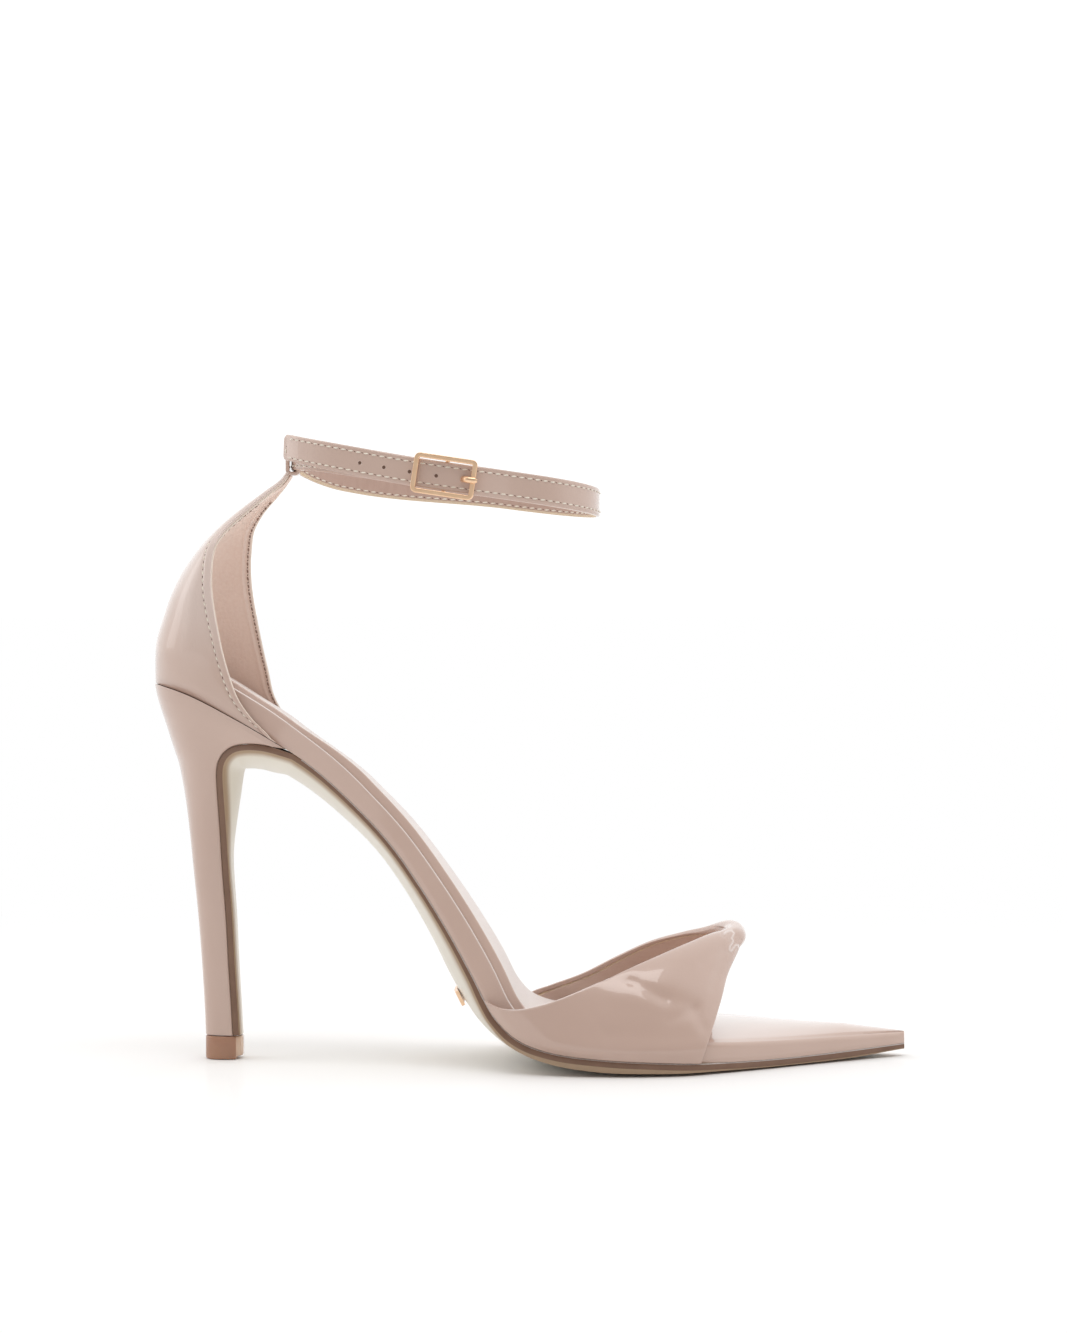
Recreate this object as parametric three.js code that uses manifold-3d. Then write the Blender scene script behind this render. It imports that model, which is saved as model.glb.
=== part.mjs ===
// High heel sandal, right shoe: pointed toe, stiletto heel, closed heel counter, twisted vamp band
// and a buckled ankle strap. Millimetres, +X to the toe, +Y to the inner side of the foot, +Z up.
import * as THREE from 'three';
import Module from 'manifold-3d';
import { mergeVertices } from 'three/addons/utils/BufferGeometryUtils.js';

// Overall sizes
const shoeLength = 221; // back of the heel seat to the toe tip, in plan
const seatHeight = 111.8; // floor to the heel seat seam at the back
const ballWidth = 75.6; // footbed across the ball
const seatWidth = 44; // footbed across the heel seat
const seatDepth = 35; // back of the footbed to the heel breast
const seatTurn = 3.5; // degrees that the heel axis turns outwards
const seatSquareness = 2.4; // exponent of the heel seat's rounded back
const fitGap = 0.3; // clearance between fitted pieces

// Sole, footbed and heel
const footbedRim = 11; // height of the footbed's side at the heel
const footbedRound = 1.6; // rounding of the footbed's upper edge
const footbedCrown = 2.2; // rise of the footbed's middle at the toe
const sockThickness = 0.8;
const sockInset = 3; // from the footbed's edge
const sockLength = 0.61; // share of the shoe's length
const soleEdge = 2; // thickness of the outsole at the breast
const soleBelly = 5.2; // how far the waist of the outsole swells below its edge
const liftHeight = 6.8;
const liftLength = 10.2;
const liftBevel = 0.5;

// Upper
const upperWall = 1.8;
const vampHeight = 40.4; // floor to the top of the knot
const knotThickness = 5.6;
const counterHeight = 171.6; // floor to the top of the counter's tab
const loopWidth = 8;
const loopWall = 1.2;
const loopDepth = 3.4; // opening across the strap's thickness

// Ankle strap and buckle
const strapWidth = 8;
const strapThickness = 1.8;
const strapCorner = 0.5;
const ankleLength = 88.8; // strap loop, front to back, at mid thickness
const ankleBreadth = 55;
const ankleEgg = 0.15; // narrows the loop at the back
const ankleHeight = 170; // floor to the middle of the strap at mid length
const anklePitch = 0.15; // fall per millimetre towards the toe
const ankleCant = 1.5; // how much higher the outer side lies than the middle
const buckleAngle = 89.2; // degrees round the strap from its front
const buckleDrop = 0.2; // below the middle of the strap
const buckleLength = 18.3;
const buckleWidth = 11.6;
const buckleBar = 1.4;
const buckleCorner = 2.2;
const barDiameter = 1.3;
const prongDiameter = 1.3;
const prongHole = 1.2; // radius
const prongHolePlace = 5.2; // in front of the centre bar
const freeEnd = 76.5; // degrees of free end past the buckle
const freeEndFlare = 2.1;
const freeEndLift = 2.4;
const platePlace = 0.436; // share of the shoe's length
const plateLength = 4.6;
const plateWidth = 18;
const plateThickness = 1;

const halfSeat = seatWidth / 2;
const seatBack = fitGap + upperWall;
const breastX = seatBack + seatDepth;
const turnSlope = Math.tan(THREE.MathUtils.degToRad(seatTurn));

// Side view of the seam between footbed and outsole at the outer edge, with what follows it.
// x: share of shoe length, z: share of seat height, rim: share of footbed rim, roll: degrees,
// edge: share of sole edge, belly: share of sole belly
const seamRows = [
  { x: 0.0, z: 1.0, rim: 1.0, roll: 3.6, edge: 1.0, belly: 1.0 },
  { x: 0.054, z: 0.962, rim: 1.0, roll: 3.6, edge: 1.0, belly: 1.0 },
  { x: 0.109, z: 0.907, rim: 1.0, roll: 3.6, edge: 1.0, belly: 1.0 },
  { x: 0.163, z: 0.846, rim: 0.93, roll: 3.4, edge: 1.0, belly: 1.0 },
  { x: 0.217, z: 0.775, rim: 0.8, roll: 4.0, edge: 0.85, belly: 0.86 },
  { x: 0.271, z: 0.678, rim: 0.73, roll: 3.5, edge: 0.75, belly: 0.75 },
  { x: 0.317, z: 0.58, rim: 0.72, roll: 2.8, edge: 0.75, belly: 0.7 },
  { x: 0.357, z: 0.469, rim: 0.74, roll: 2.0, edge: 0.75, belly: 0.74 },
  { x: 0.394, z: 0.352, rim: 0.77, roll: 1.2, edge: 0.8, belly: 0.86 },
  { x: 0.425, z: 0.242, rim: 0.79, roll: 0.4, edge: 0.9, belly: 0.96 },
  { x: 0.45, z: 0.15, rim: 0.76, roll: 0.0, edge: 1.15, belly: 0.7 },
  { x: 0.48, z: 0.091, rim: 0.72, roll: 0.0, edge: 1.35, belly: 0.42 },
  { x: 0.525, z: 0.059, rim: 0.65, roll: 0.0, edge: 1.6, belly: 0.3 },
  { x: 0.588, z: 0.044, rim: 0.6, roll: 0.0, edge: 1.8, belly: 0.25 },
  { x: 0.661, z: 0.036, rim: 0.56, roll: -0.2, edge: 1.6, belly: 0.2 },
  { x: 0.738, z: 0.0286, rim: 0.53, roll: -0.5, edge: 1.25, belly: 0.2 },
  { x: 0.837, z: 0.0242, rim: 0.47, roll: -0.7, edge: 1.1, belly: 0.2 },
  { x: 0.928, z: 0.0277, rim: 0.39, roll: 0.0, edge: 1.1, belly: 0.1 },
  { x: 1.0, z: 0.034, rim: 0.3, roll: 0.0, edge: 0.75, belly: 0.05 },
];

// Plan outline of the footbed ahead of the breast, as shares of the ball width
const outlineRows = [
  { x: 0.249, lateral: 0.315, medial: 0.251 },
  { x: 0.317, lateral: 0.324, medial: 0.247 },
  { x: 0.385, lateral: 0.361, medial: 0.255 },
  { x: 0.43, lateral: 0.406, medial: 0.274 },
  { x: 0.475, lateral: 0.463, medial: 0.307 },
  { x: 0.52, lateral: 0.513, medial: 0.351 },
  { x: 0.566, lateral: 0.542, medial: 0.394 },
  { x: 0.611, lateral: 0.556, medial: 0.427 },
  { x: 0.656, lateral: 0.552, medial: 0.444 },
  { x: 0.701, lateral: 0.526, medial: 0.442 },
  { x: 0.747, lateral: 0.47, medial: 0.418 },
  { x: 0.792, lateral: 0.384, medial: 0.376 },
  { x: 0.837, lateral: 0.288, medial: 0.317 },
  { x: 0.882, lateral: 0.193, medial: 0.254 },
  { x: 0.928, lateral: 0.101, medial: 0.185 },
  { x: 0.964, lateral: 0.029, medial: 0.13 },
  { x: 0.986, lateral: -0.011, medial: 0.095 },
  { x: 1.0, lateral: -0.04, medial: 0.066 },
];

// Heel sections from the seat down to the top lift. frontX and backX: shares of the breast's place,
// frontZ and backZ: shares of seat height, half: share of half the seat's outer width,
// roll: share of the seam's roll, square: exponent of the section's rounded back
const heelRows = [
  { frontX: 0.985, frontZ: 0.829, backX: 0.008, backZ: 0.988, half: 1.0, roll: 1.0, square: 2.4 },
  { frontX: 0.889, frontZ: 0.835, backX: 0.027, backZ: 0.955, half: 0.955, roll: 0.9, square: 2.38 },
  { frontX: 0.768, frontZ: 0.836, backX: 0.059, backZ: 0.917, half: 0.885, roll: 0.75, square: 2.35 },
  { frontX: 0.66, frontZ: 0.829, backX: 0.092, backZ: 0.883, half: 0.81, roll: 0.6, square: 2.3 },
  { frontX: 0.582, frontZ: 0.811, backX: 0.124, backZ: 0.848, half: 0.74, roll: 0.4, square: 2.26 },
  { frontX: 0.536, frontZ: 0.785, backX: 0.156, backZ: 0.814, half: 0.675, roll: 0.2, square: 2.22 },
  { frontX: 0.52, frontZ: 0.751, backX: 0.194, backZ: 0.774, half: 0.607, roll: 0.0, square: 2.2 },
  { frontX: 0.523, frontZ: 0.693, backX: 0.237, backZ: 0.697, half: 0.5, roll: 0.0, square: 2.2 },
  { frontX: 0.536, frontZ: 0.603, backX: 0.27, backZ: 0.609, half: 0.39, roll: 0.0, square: 2.2 },
  { frontX: 0.55, frontZ: 0.496, backX: 0.305, backZ: 0.491, half: 0.308, roll: 0.0, square: 2.2 },
  { frontX: 0.574, frontZ: 0.379, backX: 0.34, backZ: 0.374, half: 0.262, roll: 0.0, square: 2.2 },
  { frontX: 0.593, frontZ: 0.25, backX: 0.367, backZ: 0.256, half: 0.237, roll: 0.0, square: 2.2 },
  { frontX: 0.612, frontZ: 0.143, backX: 0.386, backZ: 0.152, half: 0.22, roll: 0.0, square: 2.2 },
];

// Heel counter from its seat to the top. back and edge: the rear outline and the front edge,
// x: shares of counterLean, z: shares of counterHeight, half: share of half the seat's outer width,
// inner: how far the inner side's edge lies ahead, share of counterLean
const counterLean = 39.6; // how far the tab leans forward of the heel's back
const counterRows = [
  { backX: 0.008, backZ: 0.652, edgeX: 0.93, edgeZ: 0.545, half: 1.0, inner: 0.1 },
  { backX: 0.006, backZ: 0.668, edgeX: 0.8, edgeZ: 0.578, half: 1.0, inner: 0.11 },
  { backX: 0.008, backZ: 0.69, edgeX: 0.675, edgeZ: 0.618, half: 1.0, inner: 0.13 },
  { backX: 0.018, backZ: 0.717, edgeX: 0.602, edgeZ: 0.662, half: 0.99, inner: 0.15 },
  { backX: 0.066, backZ: 0.755, edgeX: 0.545, edgeZ: 0.715, half: 0.975, inner: 0.17 },
  { backX: 0.126, backZ: 0.794, edgeX: 0.498, edgeZ: 0.79, half: 0.94, inner: 0.18 },
  { backX: 0.215, backZ: 0.835, edgeX: 0.49, edgeZ: 0.838, half: 0.87, inner: 0.175 },
  { backX: 0.335, backZ: 0.874, edgeX: 0.508, edgeZ: 0.879, half: 0.75, inner: 0.17 },
  { backX: 0.46, backZ: 0.906, edgeX: 0.57, edgeZ: 0.908, half: 0.61, inner: 0.13 },
  { backX: 0.61, backZ: 0.936, edgeX: 0.69, edgeZ: 0.937, half: 0.45, inner: 0.09 },
  { backX: 0.79, backZ: 0.967, edgeX: 0.85, edgeZ: 0.968, half: 0.3, inner: 0.05 },
  { backX: 0.925, backZ: 0.988, edgeX: 0.955, edgeZ: 0.989, half: 0.21, inner: 0.02 },
  { backX: 0.985, backZ: 1.004, edgeX: 0.998, edgeZ: 1.004, half: 0.17, inner: 0.0 },
];

// Vamp band from its outer base over the knot to its inner base. r: rear edge, f: front edge,
// x: shares of shoe length, y: shares of ball width, z: shares of vamp height. The rows at both
// bases take y and z from the footbed. crown: rise of the middle, cling: how much of the
// footbed's curve the row follows, wall: share of the way from wall to knot thickness,
// twist: degrees
const vampRows = [
  { rx: 0.44, fx: 0.7195, base: -1, crown: 0, cling: 1, wall: 0, twist: 0 },
  { rx: 0.465, ry: -0.498, rz: 0.465, fx: 0.7255, fy: -0.53, fz: 0.19, crown: 0.6, cling: 0.8, wall: 0, twist: 0 },
  { rx: 0.497, ry: -0.532, rz: 0.478, fx: 0.7315, fy: -0.503, fz: 0.275, crown: 1.2, cling: 0.52, wall: 0, twist: 0 },
  { rx: 0.54, ry: -0.532, rz: 0.547, fx: 0.7385, fy: -0.455, fz: 0.375, crown: 2.0, cling: 0.26, wall: 0, twist: 0 },
  { rx: 0.6, ry: -0.48, rz: 0.674, fx: 0.746, fy: -0.37, fz: 0.52, crown: 2.6, cling: 0.08, wall: 0, twist: 0 },
  { rx: 0.655, ry: -0.385, rz: 0.782, fx: 0.754, fy: -0.27, fz: 0.65, crown: 2.4, cling: 0, wall: 0.04, twist: 0 },
  { rx: 0.706, ry: -0.255, rz: 0.878, fx: 0.764, fy: -0.17, fz: 0.775, crown: 1.6, cling: 0, wall: 0.18, twist: 0 },
  { rx: 0.738, ry: -0.14, rz: 0.94, fx: 0.775, fy: -0.095, fz: 0.86, crown: 0.6, cling: 0, wall: 0.6, twist: 4 },
  { rx: 0.753, ry: -0.06, rz: 0.975, fx: 0.782, fy: -0.05, fz: 0.885, crown: 0, cling: 0, wall: 1, twist: 40 },
  { rx: 0.756, ry: 0.0, rz: 0.98, fx: 0.783, fy: 0.0, fz: 0.885, crown: 0, cling: 0, wall: 1, twist: 90 },
  { rx: 0.752, ry: 0.05, rz: 0.975, fx: 0.781, fy: 0.055, fz: 0.885, crown: 0, cling: 0, wall: 1, twist: 140 },
  { rx: 0.735, ry: 0.125, rz: 0.93, fx: 0.774, fy: 0.1, fz: 0.85, crown: 0.6, cling: 0, wall: 0.6, twist: 176 },
  { rx: 0.705, ry: 0.215, rz: 0.868, fx: 0.764, fy: 0.17, fz: 0.765, crown: 1.4, cling: 0, wall: 0.18, twist: 180 },
  { rx: 0.662, ry: 0.315, rz: 0.785, fx: 0.756, fy: 0.25, fz: 0.64, crown: 2.0, cling: 0, wall: 0.04, twist: 180 },
  { rx: 0.617, ry: 0.385, rz: 0.66, fx: 0.75, fy: 0.33, fz: 0.5, crown: 2.2, cling: 0.08, wall: 0, twist: 180 },
  { rx: 0.572, ry: 0.42, rz: 0.53, fx: 0.745, fy: 0.395, fz: 0.36, crown: 1.6, cling: 0.26, wall: 0, twist: 180 },
  { rx: 0.528, ry: 0.41, rz: 0.445, fx: 0.74, fy: 0.432, fz: 0.265, crown: 1.0, cling: 0.52, wall: 0, twist: 180 },
  { rx: 0.498, ry: 0.385, rz: 0.385, fx: 0.7365, fy: 0.452, fz: 0.185, crown: 0.5, cling: 0.8, wall: 0, twist: 180 },
  { rx: 0.478, fx: 0.733, base: 1, crown: 0, cling: 1, wall: 0, twist: 180 },
];

// Smooth reading of one column of a table at x, by cubic pieces through the rows
function readColumn(rows, column, x) {
  const last = rows.length - 1;
  let i = 0;
  while (i < last - 1 && rows[i + 1].x < x) i += 1;
  const slope = (a, b) => (rows[b][column] - rows[a][column]) / (rows[b].x - rows[a].x);
  const width = rows[i + 1].x - rows[i].x;
  const t = THREE.MathUtils.clamp((x - rows[i].x) / width, 0, 1);
  const before = slope(Math.max(i - 1, 0), i + 1) * width;
  const after = slope(i, Math.min(i + 2, last)) * width;
  const t2 = t * t;
  const t3 = t2 * t;
  const start = rows[i][column] * (2 * t3 - 3 * t2 + 1) + before * (t3 - 2 * t2 + t);
  return start + rows[i + 1][column] * (3 * t2 - 2 * t3) + after * (t3 - t2);
}

// Smooth reading of a whole row between numbered rows, by cubic pieces through the rows
function readRow(rows, place) {
  const numbered = rows.map((row, x) => ({ ...row, x }));
  const columns = Object.keys(rows[0]);
  return Object.fromEntries(columns.map((column) => [column, readColumn(numbered, column, place)]));
}

const seam = (column, x) => readColumn(seamRows, column, x / shoeLength);
const seamHeight = (x) => seatHeight * seam('z', x);
const rollSlope = (x) => Math.tan(THREE.MathUtils.degToRad(seam('roll', x)));
const seatAxis = (x) => -turnSlope * x;

// Distance from the X axis to the footbed's edge, on the outer (-1) or inner (+1) side
function footbedEdge(x, side, outset = 0) {
  if (x < breastX) {
    const reach = seatDepth + outset;
    const share = THREE.MathUtils.clamp((breastX - x) / reach, 0, 1);
    const half = (halfSeat + outset) * (1 - share ** seatSquareness) ** (1 / seatSquareness);
    return side * seatAxis(x) + half;
  }
  const first = { x: breastX / shoeLength };
  first.lateral = (halfSeat - seatAxis(breastX)) / ballWidth;
  first.medial = (halfSeat + seatAxis(breastX)) / ballWidth;
  const column = side < 0 ? 'lateral' : 'medial';
  return ballWidth * readColumn([first, ...outlineRows], column, x / shoeLength) + outset;
}

// Height of the seam at any point across the sole; the outer edge is the highest at the heel
function seamAt(x, y) {
  const outer = x < breastX ? halfSeat - seatAxis(x) : footbedEdge(x, -1);
  return seamHeight(x) - rollSlope(x) * (y + outer);
}

// Direction square to the seam in side view; upright over the heel seat
function seamNormal(x) {
  const step = 0.5;
  const fall = (seamHeight(x + step) - seamHeight(x - step)) / (2 * step);
  const angle = Math.atan(fall) * THREE.MathUtils.smoothstep(x, 0, breastX);
  return new THREE.Vector3(-Math.sin(angle), 0, Math.cos(angle));
}

// Places a point of a cross-section: y across, rise square to the seam
function onSeam(x, y, rise) {
  const base = new THREE.Vector3(x, y, seamAt(x, y));
  return base.addScaledVector(seamNormal(x), rise);
}

// Closed body through rings of equal length. Point i of a ring faces its point n-1-i,
// and the end caps are ladders between those pairs.
function loft(rings) {
  const size = rings[0].length;
  const positions = rings.flat().flatMap((point) => [point.x, point.y, point.z]);
  const triangles = [];
  for (let k = 0; k < rings.length - 1; k += 1) {
    for (let i = 0; i < size; i += 1) {
      const a = k * size + i;
      const b = k * size + ((i + 1) % size);
      triangles.push(a, b, b + size, a, b + size, a + size);
    }
  }
  const lastRing = (rings.length - 1) * size;
  for (let i = 0; i < size / 2 - 1; i += 1) {
    const rung = [i, i + 1, size - 2 - i, size - 1 - i];
    triangles.push(rung[2], rung[1], rung[0], rung[3], rung[2], rung[0]);
    triangles.push(lastRing + rung[0], lastRing + rung[1], lastRing + rung[2]);
    triangles.push(lastRing + rung[0], lastRing + rung[2], lastRing + rung[3]);
  }
  const geometry = new THREE.BufferGeometry();
  geometry.setAttribute('position', new THREE.Float32BufferAttribute(positions, 3));
  geometry.setIndex(triangles);
  return facingOut(geometry);
}

// Turns the triangles round when the enclosed volume comes out negative
function facingOut(geometry) {
  const position = geometry.getAttribute('position');
  const index = geometry.getIndex().array;
  const [a, b, c] = [new THREE.Vector3(), new THREE.Vector3(), new THREE.Vector3()];
  let volume = 0;
  for (let i = 0; i < index.length; i += 3) {
    a.fromBufferAttribute(position, index[i]);
    b.fromBufferAttribute(position, index[i + 1]);
    c.fromBufferAttribute(position, index[i + 2]);
    volume += a.dot(b.cross(c));
  }
  if (volume < 0) {
    for (let i = 0; i < index.length; i += 3) {
      const kept = index[i + 1];
      index[i + 1] = index[i + 2];
      index[i + 2] = kept;
    }
  }
  return geometry;
}

const wasm = await Module();
wasm.setup();

function toSolid(geometry) {
  const bare = geometry.clone();
  bare.deleteAttribute('normal');
  bare.deleteAttribute('uv');
  const merged = mergeVertices(bare, 1e-4);
  const vertProperties = new Float32Array(merged.getAttribute('position').array);
  const triVerts = new Uint32Array(merged.getIndex().array);
  return new wasm.Manifold(new wasm.Mesh({ numProp: 3, vertProperties, triVerts }));
}

function toGeometry(solid) {
  const mesh = solid.getMesh();
  const geometry = new THREE.BufferGeometry();
  geometry.setAttribute('position', new THREE.BufferAttribute(mesh.vertProperties, 3));
  geometry.setIndex(new THREE.BufferAttribute(mesh.triVerts, 1));
  return geometry;
}

// Stations along the shoe, closer together at the round back and at the toe tip
const stationCount = 44;
const stations = Array.from({ length: stationCount }, (unused, i) => {
  const share = i / (stationCount - 1);
  const spread = share - (0.55 * Math.sin(2 * Math.PI * share)) / (2 * Math.PI);
  return THREE.MathUtils.lerp(seatBack + 4 * fitGap, shoeLength, spread);
});

// Cross-section of the footbed: half a ring of shares across and heights, mirrored
function footbedRing(x) {
  const rim = footbedRim * seam('rim', x);
  const lateral = -footbedEdge(x, -1);
  const medial = footbedEdge(x, 1);
  const half = (medial - lateral) / 2;
  const round = Math.min(footbedRound, half * 0.7, rim * 0.4);
  const undercut = Math.min(0.8, half * 0.3);
  const crown = footbedCrown * THREE.MathUtils.smoothstep(x, 0.5 * shoeLength, 0.75 * shoeLength);
  const top = (share) => rim + crown * Math.min(1, half / 12) * (1 - share ** 2);
  const profile = [
    [0.4 * half, 0],
    [half - undercut, 0],
    [half, 0.3 * rim],
    [half, rim - round],
    [half - 0.3 * round, rim - 0.3 * round],
    [half - round, top(1)],
    [0.5 * half, top(0.5)],
    [0.15 * half, top(0.15)],
  ];
  const middle = (medial + lateral) / 2;
  const place = (sign) => ([across, rise]) => onSeam(x, middle + sign * across, rise);
  return [...profile.map(place(-1)), ...profile.map(place(1)).reverse()];
}

function footbed() {
  return loft(stations.map(footbedRing));
}

// Satin sock: a thin sheet on the footbed, inset from its edge
function sock() {
  const end = shoeLength * sockLength;
  const inside = stations.filter((x) => x > seatBack + sockInset + 1 && x < end);
  const rings = inside.map((x, i) => {
    const rim = footbedRim * seam('rim', x);
    const crown = footbedCrown * THREE.MathUtils.smoothstep(x, 0.5 * shoeLength, 0.75 * shoeLength);
    const lateral = -footbedEdge(x, -1);
    const medial = footbedEdge(x, 1);
    const middle = (medial + lateral) / 2;
    const half = (medial - lateral) / 2;
    const narrow = i === inside.length - 1 ? 1.5 : 1;
    const reach = half - sockInset * narrow;
    const bottom = (across) => rim + 1.6 * fitGap + crown * (1 - (across / half) ** 2);
    const shares = [-0.97, -0.5, -0.15, 0.15, 0.5, 0.97];
    const under = shares.map((share) => [share * reach, bottom(share * reach)]);
    const over = shares.map((share) => [share * reach, bottom(share * reach) + sockThickness]);
    const side = (sign) => [sign * reach, bottom(reach) + sockThickness / 2];
    const profile = [side(-1), ...over, side(1), ...under.reverse()];
    return profile.map(([across, rise]) => onSeam(x, middle + across, rise));
  });
  return loft(rings);
}

// How far the outsole stands out beyond the footbed: under the vamp it carries the band's wall
function soleOutset(x) {
  const rear = THREE.MathUtils.smoothstep(x, 0.43 * shoeLength, 0.49 * shoeLength);
  const front = 1 - THREE.MathUtils.smoothstep(x, 0.69 * shoeLength, 0.76 * shoeLength);
  return -0.3 + (upperWall + fitGap) * rear * front;
}

// Cross-section of the outsole in a plane given by a point, a normal and the way across
const soleShares = [
  [0.2, 0.96],
  [0.5, 0.77],
  [0.78, 0.42],
  [0.94, 0.12],
];
function soleRing(origin, normal, lateral, medial, edge, belly, slope) {
  const middle = (medial + lateral) / 2;
  const half = (medial - lateral) / 2;
  const profile = soleShares.map(([share, swell]) => [share * half, -edge - belly * swell]);
  profile.push([half, -edge * 0.85], [half, 0], [0.5 * half, 0]);
  const place = (sign) => ([across, rise]) => {
    const y = middle + sign * across;
    const point = new THREE.Vector3(origin.x, y, origin.z - slope * (y - lateral));
    point.addScaledVector(normal, rise);
    point.z = Math.max(point.z, 0);
    return point;
  };
  return [...profile.map(place(-1)), ...profile.map(place(1)).reverse()];
}

const outerHalf = halfSeat + seatBack;
const heelRoll = rollSlope(breastX);
const heelFoot = {
  frontX: 0.624,
  frontZ: (liftHeight + fitGap) / seatHeight,
  backX: 0.398,
  backZ: (liftHeight + fitGap) / seatHeight,
  half: 0.208,
  roll: 0,
  square: 2.2,
};
const heelSections = [...heelRows, heelFoot];

// One heel section with the line that heel and outsole share at the breast: point and normal
function heelSection(place) {
  const last = heelSections.length - 1;
  const row = readRow(heelSections, place);
  const before = readRow(heelSections, Math.max(place - 0.1, 0));
  const after = readRow(heelSections, Math.min(place + 0.1, last));
  const alongX = (after.frontX - before.frontX) * breastX;
  const alongZ = (after.frontZ - before.frontZ) * seatHeight;
  const normal = new THREE.Vector3(alongZ, 0, -alongX).normalize();
  const breast = new THREE.Vector3(row.frontX * breastX, 0, row.frontZ * seatHeight);
  const half = row.half * outerHalf;
  const axis = seatAxis(breast.x) * (0.4 + 0.6 * row.half);
  return { ...row, breast, normal, half, axis };
}

// Outsole: one sheet from the toe through the waist that turns down the heel's breast
function outsole() {
  const rings = stations
    .filter((x) => x > breastX + 3)
    .reverse()
    .map((x) => {
      const normal = seamNormal(x);
      const origin = onSeam(x, -footbedEdge(x, -1), -fitGap);
      const outset = soleOutset(x);
      const lateral = -footbedEdge(x, -1, outset);
      const medial = footbedEdge(x, 1, outset);
      return soleRing(
        origin, normal, lateral, medial, soleEdge * seam('edge', x), soleBelly * seam('belly', x), rollSlope(x),
      );
    });
  const steps = 24;
  for (let k = 0; k <= steps; k += 1) {
    const place = ((heelSections.length - 1) * k) / steps;
    const row = heelSection(place);
    const half = row.half - 0.2;
    const waist = THREE.MathUtils.smoothstep(row.frontZ, 0.5, 0.8);
    const belly = soleBelly * THREE.MathUtils.lerp(0.12, 1, waist);
    rings.push(soleRing(
      row.breast, row.normal, row.axis - half, row.axis + half, soleEdge, belly, heelRoll * row.roll,
    ));
  }
  return loft(rings);
}

// Stiletto heel: D-shaped sections with the flat side to the breast
function heel() {
  const arc = 13;
  const steps = 22;
  const rings = [];
  for (let k = 0; k <= steps; k += 1) {
    const share = k / steps;
    const row = heelSection((heelSections.length - 1) * share);
    const front = row.breast.clone().addScaledVector(row.normal, fitGap);
    const backX = row.backX * breastX;
    const power = 2 / row.square;
    const ring = [];
    for (let i = 0; i <= arc; i += 1) {
      const angle = (Math.PI * i) / arc;
      const x = front.x - (front.x - backX) * Math.max(0, Math.sin(angle)) ** power;
      const across = -Math.sign(Math.cos(angle)) * Math.abs(Math.cos(angle)) ** power;
      const y = row.axis + row.half * across;
      const level = THREE.MathUtils.inverseLerp(backX, front.x, x);
      const hump = 2 * Math.sin(Math.PI * level) * Math.max(0, 1 - share * 4);
      const z = THREE.MathUtils.lerp(seatHeight * row.backZ, front.z, level) + hump;
      const rolled = z - heelRoll * row.roll * (y - row.axis + row.half) * level;
      const point = new THREE.Vector3(x, y, k === 0 ? seamAt(x, y) - fitGap : rolled);
      ring.push(point);
    }
    rings.push(ring);
  }
  return loft(rings);
}

// Rounded D outline of the top lift, as a shape in plan
function topLift() {
  const back = heelFoot.backX * breastX;
  const halfLength = liftLength / 2;
  const halfWidth = heelFoot.half * outerHalf;
  const centreX = back + halfLength;
  const centreY = seatAxis(heelFoot.frontX * breastX) * (0.4 + 0.6 * heelFoot.half);
  const shape = new THREE.Shape();
  const arc = 28;
  for (let i = 0; i < arc; i += 1) {
    const angle = (2 * Math.PI * i) / arc;
    const power = Math.cos(angle) > 0 ? 0.62 : 0.9;
    const round = (value) => Math.sign(value) * Math.abs(value) ** power;
    const x = centreX + (halfLength - liftBevel) * round(Math.cos(angle));
    const y = centreY + (halfWidth - liftBevel) * round(Math.sin(angle));
    if (i === 0) shape.moveTo(x, y);
    else shape.lineTo(x, y);
  }
  shape.closePath();
  const geometry = new THREE.ExtrudeGeometry(shape, {
    depth: liftHeight - 2 * liftBevel,
    bevelEnabled: true,
    bevelThickness: liftBevel,
    bevelSize: liftBevel,
    bevelSegments: 1,
  });
  geometry.translate(0, 0, liftBevel);
  return geometry;
}

// Blank plate set on the underside of the waist
function solePlate() {
  const x = platePlace * shoeLength;
  const normal = seamNormal(x);
  const edge = soleEdge * seam('edge', x);
  const belly = soleBelly * seam('belly', x);
  const along = new THREE.Vector3(normal.z, 0, -normal.x);
  const shares = [-1, -0.6, -0.2, 0.2, 0.6, 1];
  const half = (footbedEdge(x, 1) + footbedEdge(x, -1)) / 2;
  const middle = (footbedEdge(x, 1) - footbedEdge(x, -1)) / 2;
  const swellRows = [{ x: 0, swell: 1 }, ...soleShares.map(([share, swell]) => ({ x: share, swell }))];
  const rings = [-0.5, 0.5].map((end) => {
    const at = (share, deep) => {
      const across = (share * plateWidth) / 2;
      const swell = readColumn(swellRows, 'swell', Math.abs(across) / half);
      const point = onSeam(x, middle + across, -fitGap - edge - belly * swell - deep);
      return point.addScaledVector(along, end * plateLength);
    };
    const outer = shares.map((share) => at(share, fitGap + plateThickness));
    const inner = shares.map((share) => at(share, fitGap));
    return [...outer, ...inner.reverse()];
  });
  return loft(rings);
}

// Heel counter: a curved wall from edge to edge round the heel, with a loop for the strap on top
const counterSquare = 2.4;
function counterPoint(row, share) {
  const angle = share * (Math.PI / 2);
  const power = 2 / counterSquare;
  const forward = 1 - Math.cos(angle) ** power;
  const edgeX = row.edgeX + (share > 0 ? row.inner * share ** 2 : 0);
  const x = counterLean * THREE.MathUtils.lerp(row.backX, edgeX, forward);
  const across = Math.sign(share) * Math.abs(Math.sin(angle)) ** power;
  const y = seatAxis(x) * row.half + row.half * outerHalf * across;
  const z = counterHeight * THREE.MathUtils.lerp(row.backZ, row.edgeZ, forward);
  return new THREE.Vector3(x, y, z);
}

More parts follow.
